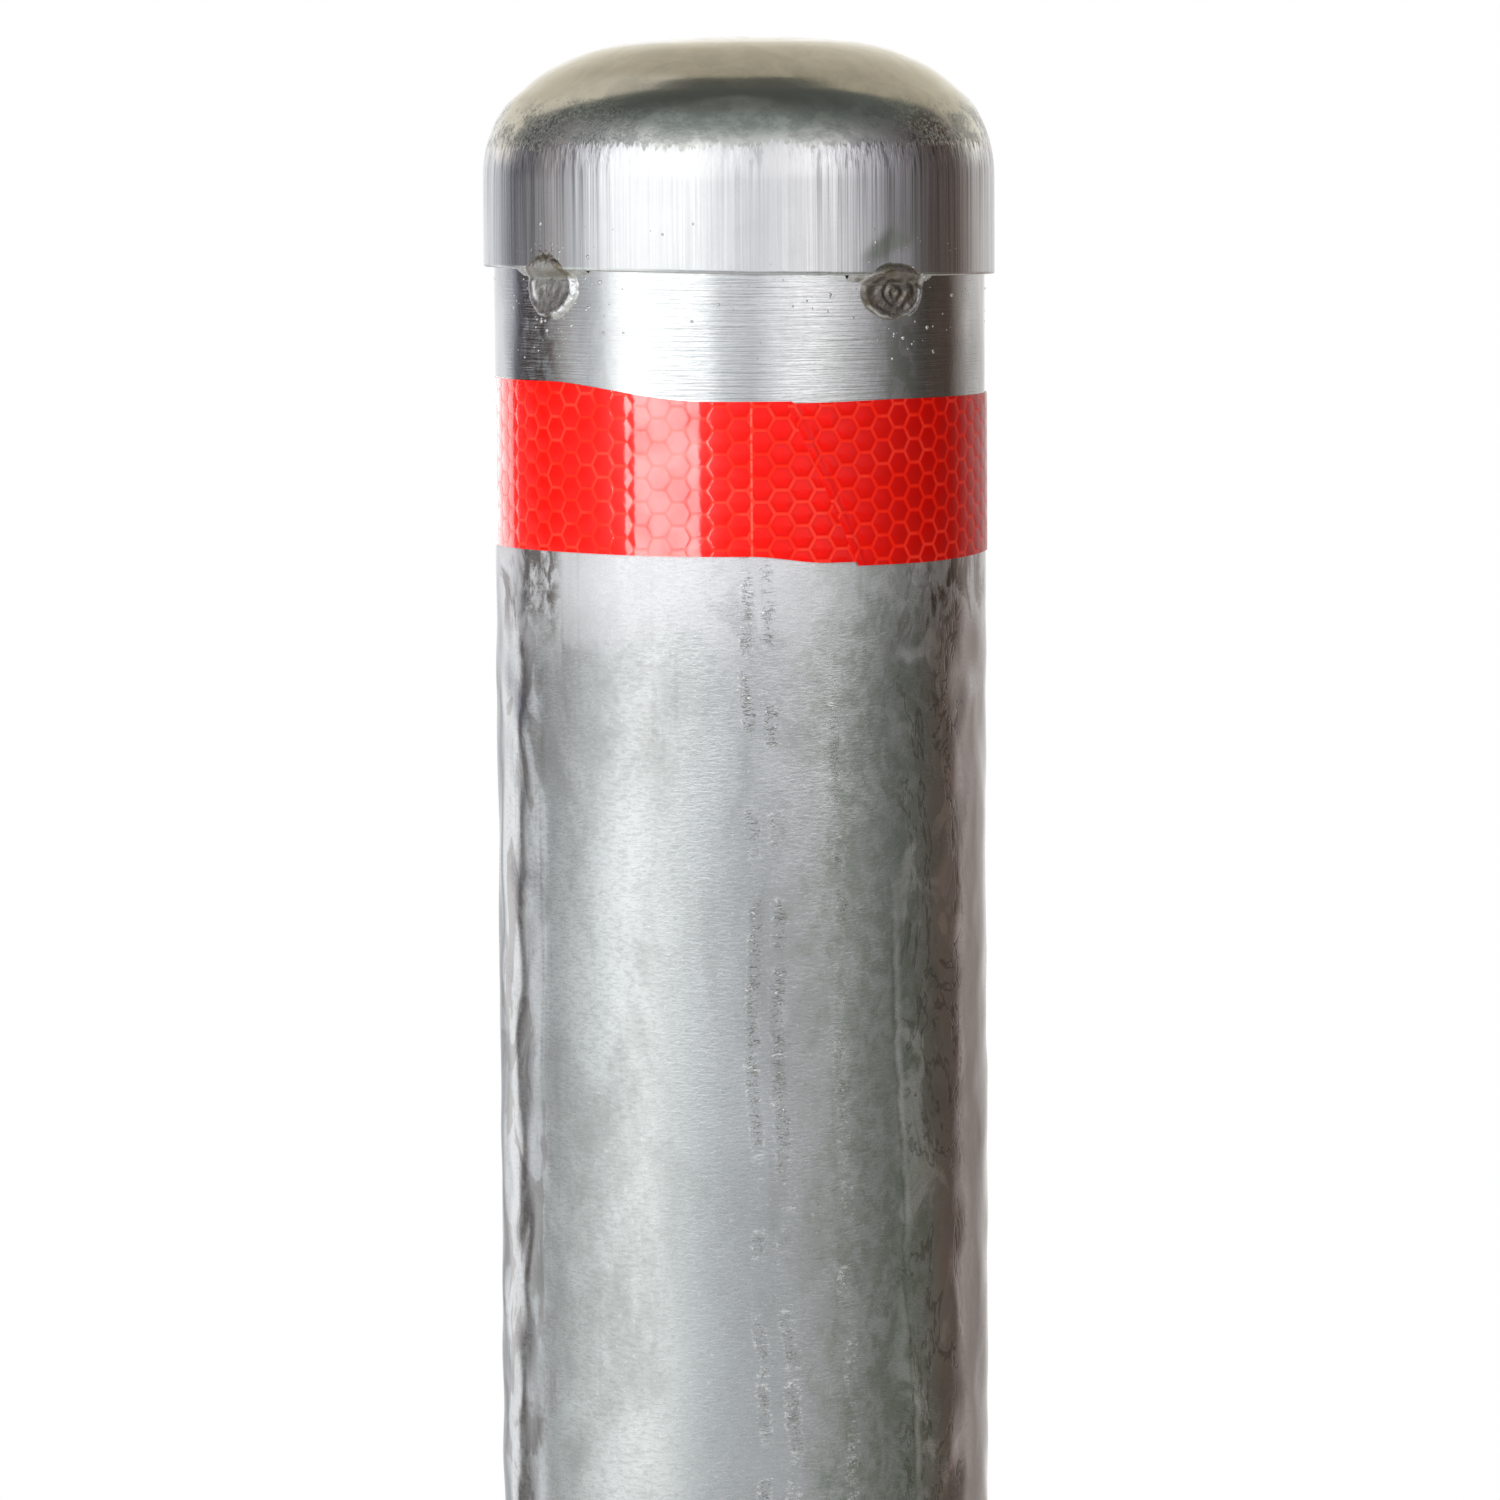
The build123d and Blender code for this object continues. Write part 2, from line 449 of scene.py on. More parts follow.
def zinc_tube_material(finish):
    """Galvanised tube: a matt front with seam marks, smoother sides, a polished neck with a painted
    highlight, whitish patches under the tape that are partly a painted highlight, and stains.
    """
    material, recipe, shader, coords = new_material("galvanised_tube")
    dashes, specks = zinc_grain(recipe, coords)
    x, y, z = recipe.parts(coords)
    turn = recipe.turn_of(x, y)
    clouds = recipe.stretched_noise(coords, (24.0, 24.0, 11.0), 5.0, 0.6, 0.8)
    patches = recipe.stretched_noise(coords, (70.0, 70.0, 42.0), 5.0, 0.65, 0.6)
    mottle = recipe.stretched_noise(coords, (230.0, 230.0, 170.0), 4.0, 0.65, 0.4)
    streaks = recipe.stretched_noise(coords, (190.0, 190.0, 12.0), 4.0, 0.6, 0.3)

    def centred(value, reach):
        """Noise turned into a wander either side of nothing."""
        return recipe.between(value, 0.3, 0.7, -reach, reach, smooth=False)

    sway = centred(recipe.stretched_noise(coords, (6.0, 6.0, 55.0), 3.0, 0.6), 0.018)

    def track(centre, lean, width):
        """Nearness to a line that runs down the tube and drifts to the right by `lean` radians a metre."""
        middle = recipe.sum_of(turn, sway, -centre, recipe.times(recipe.math("ADD", z, -TRACK_HEIGHT), lean))
        off = recipe.times(recipe.math("ABSOLUTE", middle), TUBE_RADIUS)
        return recipe.between(off, width, 0.0)

    ragged = recipe.sum_of(centred(patches, 0.16), centred(mottle, 0.09))
    right_side = recipe.between(recipe.math("ADD", turn, ragged), radians(44), radians(56))
    left_side = recipe.between(recipe.math("ADD", turn, centred(streaks, 0.06)), radians(-52), radians(-56))
    sides = recipe.larger(left_side, right_side)
    neck = recipe.between(z, TAPE_LOW.z, TAPE_HIGH.z)
    body = recipe.without(neck)
    smooth = recipe.larger(sides, neck)
    front = recipe.without(smooth)
    greenish = recipe.times(
        recipe.between(recipe.math("ADD", turn, ragged), radians(11), radians(31)),
        recipe.without(right_side),
    )

    brushed = recipe.stretched_noise(coords, (45.0, 45.0, 1500.0), 3.0, 0.6, 0.3, turn=(0.03, 0.05, 0.0))
    ticks = recipe.stretched_noise(coords, (300.0, 300.0, 900.0), 3.0, 0.65, 1.2, turn=(0.0, 0.25, 0.0))
    tracks = recipe.larger(track(radians(2.6), 0.2, 2.6 * MM), track(radians(8.4), 0.35, 3.0 * MM))
    tracks = recipe.larger(tracks, recipe.times(track(radians(23), 0.3, 2.4 * MM), 0.55))
    clusters = recipe.stretched_noise(coords, (30.0, 30.0, 62.0), 2.0)
    seam = recipe.times(recipe.times(tracks, body), recipe.between(clusters, 0.42, 0.58))
    tick_marks = recipe.times(seam, recipe.between(ticks, 0.52, 0.62))
    tick_shade = recipe.times(seam, recipe.between(ticks, 0.46, 0.34))
    low_down = recipe.between(z, 0.775, 0.74)
    worn = recipe.between(clouds, 0.36, 0.56, 0.2, 1.0)
    pale_line = recipe.times(track(radians(39.0), 0.75, 1.9 * MM), recipe.times(low_down, worn))
    line_shade = recipe.times(track(radians(37.3), 0.75, 1.0 * MM), recipe.times(low_down, 0.45))
    scored = recipe.times(
        track(radians(-52.0), 0.03, 3.4 * MM), recipe.between(z, TAPE_LOW.z, TAPE_LOW.z - 0.03)
    )
    scored = recipe.times(scored, recipe.between(streaks, 0.4, 0.6, 0.1, 1.0))
    scored = recipe.times(scored, recipe.between(clusters, 0.42, 0.56))

    dullness = recipe.between(recipe.sum_of(clouds, recipe.times(patches, 0.5)), 0.62, 0.98)
    tint = recipe.blend(dullness, rgba(finish.zinc), rgba(finish.dull_zinc))
    tint = recipe.blend(
        recipe.times(greenish, recipe.between(mottle, 0.35, 0.62, 0.15, 0.75)), tint, GREENISH_ZINC
    )
    under_tape = recipe.between(z, TAPE_LOW.z - 0.052, TAPE_LOW.z - 0.008)
    handled = recipe.times(recipe.times(under_tape, body), recipe.between(patches, 0.52, 0.62))
    at_right = recipe.between(turn, radians(22), radians(48))
    at_left = recipe.times(
        recipe.between(turn, radians(-42), radians(-52)), recipe.between(z, 0.825, 0.84)
    )
    stained = recipe.times(handled, recipe.larger(at_right, at_left))
    upright = recipe.times(recipe.between(streaks, 0.54, 0.70), recipe.between(clouds, 0.46, 0.6))
    stained = recipe.larger(stained, recipe.times(upright, 0.18))
    smudge = recipe.times(
        recipe.between(turn, radians(-66), radians(-58)), recipe.between(turn, radians(-44), radians(-50))
    )
    smudge = recipe.times(
        smudge, recipe.between(recipe.math("ADD", z, centred(patches, 0.006)), 0.829, 0.842)
    )
    stained = recipe.larger(stained, recipe.times(smudge, recipe.between(mottle, 0.35, 0.6)))
    tint = recipe.blend(recipe.times(stained, 0.8), tint, rgba(finish.stain, 1.3))
    grain = recipe.times(front, 0.75)
    grain = recipe.math("ADD", grain, 0.25)
    darker = recipe.times(recipe.between(dashes, 0.42, 0.68), recipe.times(grain, 0.34))
    tint = recipe.blend(darker, tint, rgba(finish.dull_zinc, 0.72))
    glitter = recipe.times(recipe.between(specks, 0.60, 0.76), recipe.times(grain, 0.3))
    tint = recipe.blend(glitter, tint, rgba(finish.zinc, 1.3))
    tint = recipe.blend(recipe.between(mottle, 0.62, 0.78, 0.0, 0.45), tint, rgba(finish.dull_zinc, 0.8))
    crumpled = recipe.stretched_noise(coords, (62.0, 62.0, 40.0), 3.0, 0.55, 0.7, turn=(0.0, 0.0, 0.0))
    left_blotches = recipe.times(left_side, recipe.between(crumpled, 0.5, 0.57))
    left_blotches = recipe.times(left_blotches, recipe.between(turn, radians(-130), radians(-98)))
    tint = recipe.blend(recipe.times(recipe.times(left_blotches, body), 0.62), tint, BROWN_BLOTCH)
    veins = recipe.math(
        "ABSOLUTE",
        recipe.math("ADD", recipe.stretched_noise(coords, (60.0, 60.0, 26.0), 4.0, 0.7, 0.5), -0.5),
    )
    at_edge = recipe.times(
        recipe.between(turn, radians(34), radians(42)), recipe.between(turn, radians(66), radians(56))
    )
    cracks = recipe.times(recipe.between(veins, 0.026, 0.0), recipe.times(at_edge, body))
    pale = recipe.times(recipe.between(crumpled, 0.49, 0.4), recipe.times(at_edge, body))
    tint = recipe.blend(recipe.times(pale, 0.7), tint, rgba(finish.zinc, 1.35))
    tint = recipe.blend(recipe.times(cracks, 0.5), tint, CRACK_SHADE)
    tint = recipe.blend(recipe.times(tick_shade, 0.4), tint, rgba(finish.dull_zinc, 0.6))
    shades = recipe.larger(recipe.times(scored, 0.5), line_shade)
    tint = recipe.blend(recipe.times(shades, 0.6), tint, rgba(finish.stain, 1.2))
    # Painted highlight: the neck is made lighter across its front, from -35 to 42 degrees round the post.
    painted_neck_highlight = recipe.times(
        recipe.between(turn, radians(-35), radians(-27)), recipe.between(turn, radians(42), radians(28))
    )
    tint = recipe.blend(recipe.times(recipe.times(neck, painted_neck_highlight), 0.65), tint, rgba(finish.zinc, 1.2))
    # The neck is made darker round its middle, from -9 to 9 degrees round the post.
    neck_middle_darker = recipe.times(
        recipe.between(turn, radians(-9), radians(-3)), recipe.between(turn, radians(9), radians(2))
    )
    tint = recipe.blend(recipe.times(recipe.times(neck, neck_middle_darker), 0.5), tint, rgba(finish.dull_zinc, 0.8))
    marks = recipe.larger(tick_marks, recipe.times(pale_line, 0.7))
    tint = recipe.blend(recipe.times(marks, 0.85), tint, rgba(finish.zinc, 1.4))
    near_tape = recipe.times(recipe.between(z, TAPE_LOW.z - 0.045, TAPE_LOW.z - 0.002), body)
    # Whitish patches just below the tape, partly whitish zinc and partly a painted highlight: the band is
    # made white and less metallic, fading towards the right.
    white_haze_and_highlight = recipe.times(
        near_tape,
        recipe.between(
            recipe.sum_of(patches, recipe.times(clouds, 0.5), recipe.times(near_tape, 0.22)), 0.76, 0.93
        ),
    )
    white_haze_and_highlight = recipe.times(white_haze_and_highlight, recipe.without(stained))
    white_haze_and_highlight = recipe.times(white_haze_and_highlight, recipe.between(turn, radians(42), radians(2), 0.4, 1.0))
    white_haze_and_highlight = recipe.times(white_haze_and_highlight, 0.56)
    tint = recipe.blend(white_haze_and_highlight, tint, HAZE_AND_HIGHLIGHT_WHITE)
    recipe.feed(shader.inputs["Base Color"], tint)
    recipe.feed(shader.inputs["Metallic"], recipe.without(white_haze_and_highlight))
    rough = recipe.sum_of(
        recipe.between(dullness, 0.0, 1.0, 0.235, 0.31),
        recipe.between(dashes, 0.3, 0.7, -0.05, 0.05),
        recipe.times(sides, -0.12),
        recipe.times(neck, -0.115),
    )
    recipe.feed(shader.inputs["Roughness"], recipe.larger(rough, 0.09))
    height = recipe.sum_of(
        recipe.times(recipe.times(dashes, grain), 0.28),
        recipe.times(recipe.times(specks, grain), 0.07),
        recipe.times(mottle, 0.25),
        recipe.times(recipe.times(brushed, neck), 0.35),
        recipe.times(tick_marks, 2.6),
        recipe.times(pale_line, 0.5),
        recipe.times(scored, -0.5),
        recipe.times(cracks, -0.2),
    )
    recipe.feed(shader.inputs["Normal"], recipe.bump(height, 0.00014))
    return material


def dome_material(finish, cap):
    """Pressed cap: a smooth dome, speckled at its shoulder, over a bright band with upright drawing marks."""
    material, recipe, shader, coords = new_material("pressed_dome")
    x, y, z = recipe.parts(coords)
    marks = recipe.stretched_noise(coords, (760.0, 760.0, 5.0), 3.0, 0.7)
    fine_marks = recipe.stretched_noise(coords, (1700.0, 1700.0, 14.0), 2.0, 0.6)
    broad_marks = recipe.stretched_noise(coords, (75.0, 75.0, 14.0), 2.0, 0.5)
    comb = recipe.stretched_noise(coords, (480.0, 480.0, 0.0), 2.0, 0.8)
    sweep = recipe.stretched_noise(coords, (30.0, 30.0, 0.0), 2.0, 0.5)
    ragged = recipe.sum_of(
        recipe.between(comb, 0.3, 0.7, -1.3 * MM, 1.3 * MM),
        recipe.between(sweep, 0.3, 0.7, -1.0 * MM, 1.0 * MM),
    )
    above = recipe.math("SUBTRACT", z, recipe.math("ADD", ragged, LIP_Z + cap.drawn_height))
    drawn = recipe.between(above, 0.7 * MM, -0.5 * MM)
    dome = recipe.without(drawn)
    haze = recipe.noise(coords, 95.0, 5.0, 0.65, 0.4)
    specks = recipe.noise(coords, 1000.0, 3.0, 0.6)
    pits = recipe.noise(coords, 900.0, 5.0, 0.8)
    turn = recipe.turn_of(x, y)
    blots = recipe.stretched_noise(coords, (110.0, 110.0, 160.0), 4.0, 0.65)

    shoulder = recipe.between(z, CROWN_Z - 15.0 * MM, CROWN_Z - 24.0 * MM)
    speckled = recipe.times(
        recipe.between(recipe.sum_of(pits, recipe.times(blots, 0.6)), 0.78, 0.92),
        recipe.times(shoulder, dome),
    )
    at_left = recipe.between(turn, radians(-12), radians(-40))
    at_right = recipe.between(turn, radians(25), radians(48), 0.0, 0.7)
    speckled = recipe.times(speckled, recipe.sum_of(0.3, recipe.larger(at_left, at_right)))
    dome_tint = recipe.blend(recipe.between(haze, 0.35, 0.7), rgba(finish.dome), rgba(finish.dome, 0.86))
    dome_tint = recipe.blend(recipe.times(speckled, 0.5), dome_tint, BLUE_SPECK)
    dome_tint = recipe.blend(recipe.between(blots, 0.6, 0.75, 0.0, 0.3), dome_tint, KHAKI_BLOT)
    mottled = recipe.times(recipe.between(blots, 0.42, 0.6), recipe.times(shoulder, dome))
    dome_tint = recipe.blend(recipe.times(mottled, 0.45), dome_tint, SHOULDER_SHADE)
    fading = recipe.between(z, LIP_Z + 4.0 * MM, LIP_Z + cap.drawn_height, 0.35, 1.0)
    strength = recipe.times(fading, recipe.between(broad_marks, 0.38, 0.58, 0.25, 1.0))
    faint = recipe.times(
        recipe.between(turn, radians(-36), radians(-29)), recipe.between(turn, radians(1), radians(-9))
    )
    strength = recipe.times(strength, recipe.without(recipe.times(faint, 0.85)))
    middle = recipe.times(
        recipe.between(turn, radians(-9), radians(-4)), recipe.between(turn, radians(22), radians(12))
    )
    strength = recipe.times(strength, recipe.without(recipe.times(middle, 0.5)))
    plain = recipe.between(recipe.math("ABSOLUTE", recipe.math("ADD", turn, 0.06)), radians(29), radians(21))
    marked = recipe.times(fading, recipe.math("SUBTRACT", 0.95, plain))
    strength = recipe.larger(strength, marked)
    dark_marks = recipe.times(recipe.between(marks, 0.51, 0.63), strength)
    bright_marks = recipe.times(recipe.between(marks, 0.47, 0.36), strength)
    band_tint = recipe.blend(
        recipe.between(haze, 0.35, 0.7, 0.0, 0.5), rgba(finish.zinc), rgba(finish.zinc, 0.9)
    )
    band_tint = recipe.blend(recipe.times(dark_marks, 0.8), band_tint, rgba(finish.dull_zinc, 0.5))
    band_tint = recipe.blend(recipe.times(bright_marks, 0.8), band_tint, rgba(finish.zinc, 1.3))
    tint = recipe.blend(drawn, dome_tint, band_tint)
    tint = recipe.blend(recipe.between(specks, 0.68, 0.8, 0.0, 0.3), tint, rgba(finish.stain, 1.6))
    recipe.feed(shader.inputs["Base Color"], tint)
    shader.inputs["Metallic"].default_value = 1.0
    rough = recipe.sum_of(
        recipe.times(recipe.between(haze, 0.3, 0.7, 0.10, 0.17), dome),
        recipe.times(recipe.between(fine_marks, 0.3, 0.7, 0.15, 0.27), drawn),
        recipe.times(speckled, 0.1),
    )
    recipe.feed(shader.inputs["Roughness"], rough)
    upright = recipe.sum_of(
        recipe.times(marks, strength),
        recipe.times(fine_marks, recipe.math("SUBTRACT", 0.22, recipe.times(faint, 0.15))),
    )
    height = recipe.sum_of(
        recipe.times(recipe.times(upright, drawn), 1.0),
        recipe.times(recipe.times(haze, dome), 0.35),
        recipe.times(speckled, -0.25),
        recipe.times(specks, 0.05),
    )
    recipe.feed(shader.inputs["Normal"], recipe.bump(height, 0.0001))
    return material


def weld_material(finish):
    """Weld metal: dark and brownish where it is bare, bright where zinc lies round it, with a painted
    highlight along its ridges.
    """
    material, recipe, shader, coords = new_material("weld_metal")
    bright = recipe.node("ShaderNodeAttribute", attribute_name="bright").outputs["Fac"]
    mottled = recipe.noise(coords, 420.0, 4.0, 0.65, 0.5)
    fine = recipe.noise(coords, 1500.0, 3.0, 0.6)
    heat = recipe.noise(coords, 130.0, 2.0, 0.5)
    bare = recipe.blend(recipe.between(mottled, 0.3, 0.7), rgba(finish.weld, 0.8), rgba(finish.weld, 1.45))
    bare = recipe.blend(recipe.between(heat, 0.52, 0.66, 0.0, 0.5), bare, STRAW_HEAT)
    tint = recipe.blend(bright, bare, rgba(finish.zinc, 1.2))
    recipe.feed(shader.inputs["Base Color"], tint)
    shader.inputs["Metallic"].default_value = 1.0
    recipe.feed(shader.inputs["Roughness"], recipe.between(fine, 0.3, 0.7, 0.26, 0.42))
    height = recipe.sum_of(recipe.times(mottled, 0.6), recipe.times(fine, 0.4))
    recipe.feed(shader.inputs["Normal"], recipe.bump(height, 0.00018))
    return material


def zinc_plate_material(finish):
    """Hot-dipped plate: large soft crystals, dull patches and fine grain."""
    material, recipe, shader, coords = new_material("galvanised_plate")
    crystals = recipe.cells(recipe.stretch(coords, (130.0, 130.0, 130.0)), 1.0)
    tone = recipe.parts(crystals.outputs["Color"])[0]
    dashes, specks = zinc_grain(recipe, coords)
    clouds = recipe.noise(coords, 26.0, 4.0, 0.6, 0.6)
    dullness = recipe.sum_of(recipe.between(clouds, 0.35, 0.7, 0.0, 0.6), recipe.times(tone, 0.4))
    tint = recipe.blend(dullness, rgba(finish.zinc), rgba(finish.dull_zinc))
    tint = recipe.blend(recipe.between(specks, 0.62, 0.8, 0.0, 0.4), tint, rgba(finish.stain, 1.6))
    recipe.feed(shader.inputs["Base Color"], tint)
    shader.inputs["Metallic"].default_value = 1.0
    rough = recipe.sum_of(
        recipe.between(clouds, 0.3, 0.7, 0.27, 0.37),
        recipe.times(tone, 0.06),
        recipe.between(dashes, 0.3, 0.7, -0.02, 0.04),
    )
    recipe.feed(shader.inputs["Roughness"], rough)
    height = recipe.sum_of(
        recipe.times(tone, 0.12), recipe.times(dashes, 0.25), recipe.times(clouds, 0.8)
    )
    recipe.feed(shader.inputs["Normal"], recipe.bump(height, 0.00012))
    return material


def honeycomb(recipe, place, side):
    """Distance from the middle of a flat-topped honeycomb cell, 0 there and 1 on its edge."""
    pitch = sqrt(3.0)
    span = (3.0, pitch, 1.0)
    half = (1.5, pitch / 2, 0.5)
    scaled = recipe.vector("MULTIPLY", place, (1 / side, 1 / side, 0.0))

    def nearest(shift):
        """The way to the nearest cell's middle, on one of the two grids that make the honeycomb."""
        moved = recipe.vector("ADD", scaled, shift)
        return recipe.vector("SUBTRACT", recipe.vector("WRAP", moved, span, (0.0, 0.0, 0.0)), half)

    first = nearest((1.5 + 300.0, pitch / 2 + 100 * pitch, 0.5))
    second = nearest((0.0 + 300.0, 0.0 + 100 * pitch, 0.5))

    def reach(offset):
        """How far out this is in its cell, counted square to the nearest side."""
        size = recipe.vector("ABSOLUTE", offset)
        slanted = recipe.vector("DOT_PRODUCT", size, (pitch / 2, 0.5, 0.0))
        return recipe.larger(slanted, recipe.parts(size)[1])

    return recipe.math("DIVIDE", recipe.math("MINIMUM", reach(first), reach(second)), pitch / 2)


def tape_material(finish, tape):
    """Reflective tape: red honeycomb cells with paler seal lines under a clear glossy film, with painted
    shade on the cells towards the right, painted shadows beside the seal lines and painted glints on them.
    """
    material, recipe, shader, coords = new_material("reflective_tape")
    place = recipe.node("ShaderNodeUVMap", uv_map="tape").outputs[0]
    edge = honeycomb(recipe, place, tape.cell_side)
    seal = recipe.between(edge, 0.83, 0.92)
    # Painted shadow: a darker band just inside each seal line.
    seal_side_shadow = recipe.times(recipe.between(edge, 0.50, 0.82), recipe.between(edge, 0.93, 0.86))
    along, up, _ = recipe.parts(place)
    off_join = recipe.math("ABSOLUTE", recipe.math("SUBTRACT", along, radians(2.5) * TUBE_RADIUS))
    dashed = recipe.between(recipe.noise(recipe.join(0.0, up), 420.0, 2.0), 0.42, 0.52, 0.25, 1.0)
    join = recipe.times(recipe.between(off_join, 0.42 * MM, 0.15 * MM), dashed)
    glint_patches = recipe.between(recipe.noise(place, 62.0, 2.0), 0.46, 0.60)
    tone = recipe.noise(place, 90.0, 3.0, 0.6)
    each = recipe.cells(place, 240.0)
    tint = recipe.blend(
        recipe.between(tone, 0.4, 0.7, 0.0, 0.3), rgba(finish.tape_cell), rgba(finish.tape_cell, 0.72)
    )
    tint = recipe.blend(
        recipe.times(recipe.parts(each.outputs["Color"])[0], 0.22), tint, rgba(finish.tape_cell, 0.6)
    )
    x, y, _ = recipe.parts(coords)
    turned = recipe.turn_of(x, y)
    # Cell middles are darker than their seal lines, and a painted shade darkens them more towards the right,
    # from 16 to 46 degrees round the post.
    darker_cells_and_shade = recipe.times(
        recipe.between(edge, 0.84, 0.72), recipe.between(turned, radians(16), radians(46), 0.05, 0.68)
    )
    tint = recipe.blend(darker_cells_and_shade, tint, rgba(finish.tape_cell, 0.5))
    tint = recipe.blend(recipe.times(seal_side_shadow, 0.45), tint, rgba(finish.tape_cell, 0.66))
    tint = recipe.blend(recipe.times(seal, 0.75), tint, rgba(finish.tape_line))
    # Painted glints on patches of the seal lines, and the real pale join line across the tape, share one pale
    # red.
    glinting = recipe.times(recipe.times(seal, glint_patches), 0.16)
    tint = recipe.blend(recipe.larger(glinting, recipe.times(join, 0.7)), tint, GLINT_AND_JOIN_PALE)
    recipe.feed(shader.inputs["Base Color"], tint)
    shader.inputs["Roughness"].default_value = 0.35
    shader.inputs["Specular IOR Level"].default_value = 0.04
    recipe.feed(
        shader.inputs["Coat Weight"],
        recipe.math("SUBTRACT", recipe.between(tone, 0.35, 0.65, 0.5, 0.72), recipe.times(seal, 0.2)),
    )
    shader.inputs["Coat Roughness"].default_value = 0.06
    shader.inputs["Coat IOR"].default_value = 1.36
    weave = recipe.noise(place, 700.0, 3.0, 0.55)
    height = recipe.sum_of(
        recipe.times(seal, -1.0),
        recipe.times(recipe.times(edge, edge), -3.0),
        recipe.times(weave, 1.2),
        recipe.times(join, -1.5),
    )
    film = recipe.bump(height, 0.000014)
    recipe.feed(shader.inputs["Normal"], film)
    recipe.feed(shader.inputs["Coat Normal"], film)
    return material


# ---- Tube -----------------------------------------------------------------------------------------


def side_zone(turn):
    """1 on the tube's left and right sides, where it was dented as it was handled, and 0 on its front."""
    degrees_round = abs(wrap(turn)) * 180 / pi
    return ease(46, 62, degrees_round) * ease(150, 125, degrees_round)


def dipped_surface(tube, point):
    """How far the rolled, handled and dipped surface stands off a true cylinder."""
    stretched = Vector((point.x, point.y, point.z * 0.55))
    slow = wander(stretched, 0.026, 3.0)
    quick = wander(stretched, 0.009, 8.0)
    dents = wander(Vector((point.x, point.y, point.z * 0.8)), 0.0125, 5.0)
    below_tape = ease(TAPE_LOW.z, TAPE_LOW.z - 0.04, point.z)
    side = side_zone(turn_of(point)) * (0.25 + 0.75 * below_tape)
    return tube.ripple * (0.75 * slow + 0.2 * quick) + tube.side_ripple * side * dents


def build_tube(tube, finish):
    """The tube: a wall section spun round the axis, rippled outside and with its seam bead inside."""
    bm = bmesh.new()
    bore = TUBE_RADIUS - tube.wall
    chamfer = tube.rim_round
    corners = (
        (bore, TUBE_LOW.z),
        (TUBE_RADIUS, TUBE_LOW.z),
        (TUBE_RADIUS, TUBE_HIGH.z - chamfer),
        (TUBE_RADIUS - chamfer, TUBE_HIGH.z),
        (bore, TUBE_HIGH.z),
    )
    verts, edges = line_of_points(bm, corners)
    edges.append(bm.edges.new((verts[-1], verts[0])))
    bmesh.ops.subdivide_edges(bm, edges=[edges[1]], cuts=tube.rows)
    spin_round_post(bm, tube.turns)
    for vert in bm.verts:
        radius = hypot(vert.co.x, vert.co.y)
        if radius > TUBE_RADIUS - chamfer / 2:
            set_radius(vert.co, radius + dipped_surface(tube, vert.co))
        elif radius < bore + chamfer:
            off_seam = abs(wrap(turn_of(vert.co) - tube.seam)) * bore
            set_radius(vert.co, bore - tube.seam_height * ridge(off_seam, 1.6 * MM))
    finish_piece(bm, "galvanised_tube", ["post_tube"], zinc_tube_material(finish))


# ---- Cap ------------------------------------------------------------------------------------------


def lip_height(cap, turn):
    """Height of the cap's lip at this angle: out of square and a little uneven."""
    uneven = wander(
        round_post(turn, 1.0, 0.0), 0.35, 5.0
    ) + 0.5 * wander(round_post(turn, 1.0, 0.0), 0.11, 9.0)
    return LIP_Z - cap.lip_slant * sin(turn) + 0.00022 * uneven


def ground_radius(cap, across, up):
    """Radius of the flat that the grinder left on the skirt above the front right weld; large elsewhere."""
    off_middle = (across + 2.6 * MM) / CAP_RADIUS
    depth = cap.ground_depth * ease(14.0 * MM, 6.0 * MM, up - 0.35 * across + 0.7 * MM * sin(900 * across))
    return (CAP_RADIUS - depth) / cos(off_middle) if depth > 0 else 2 * CAP_RADIUS


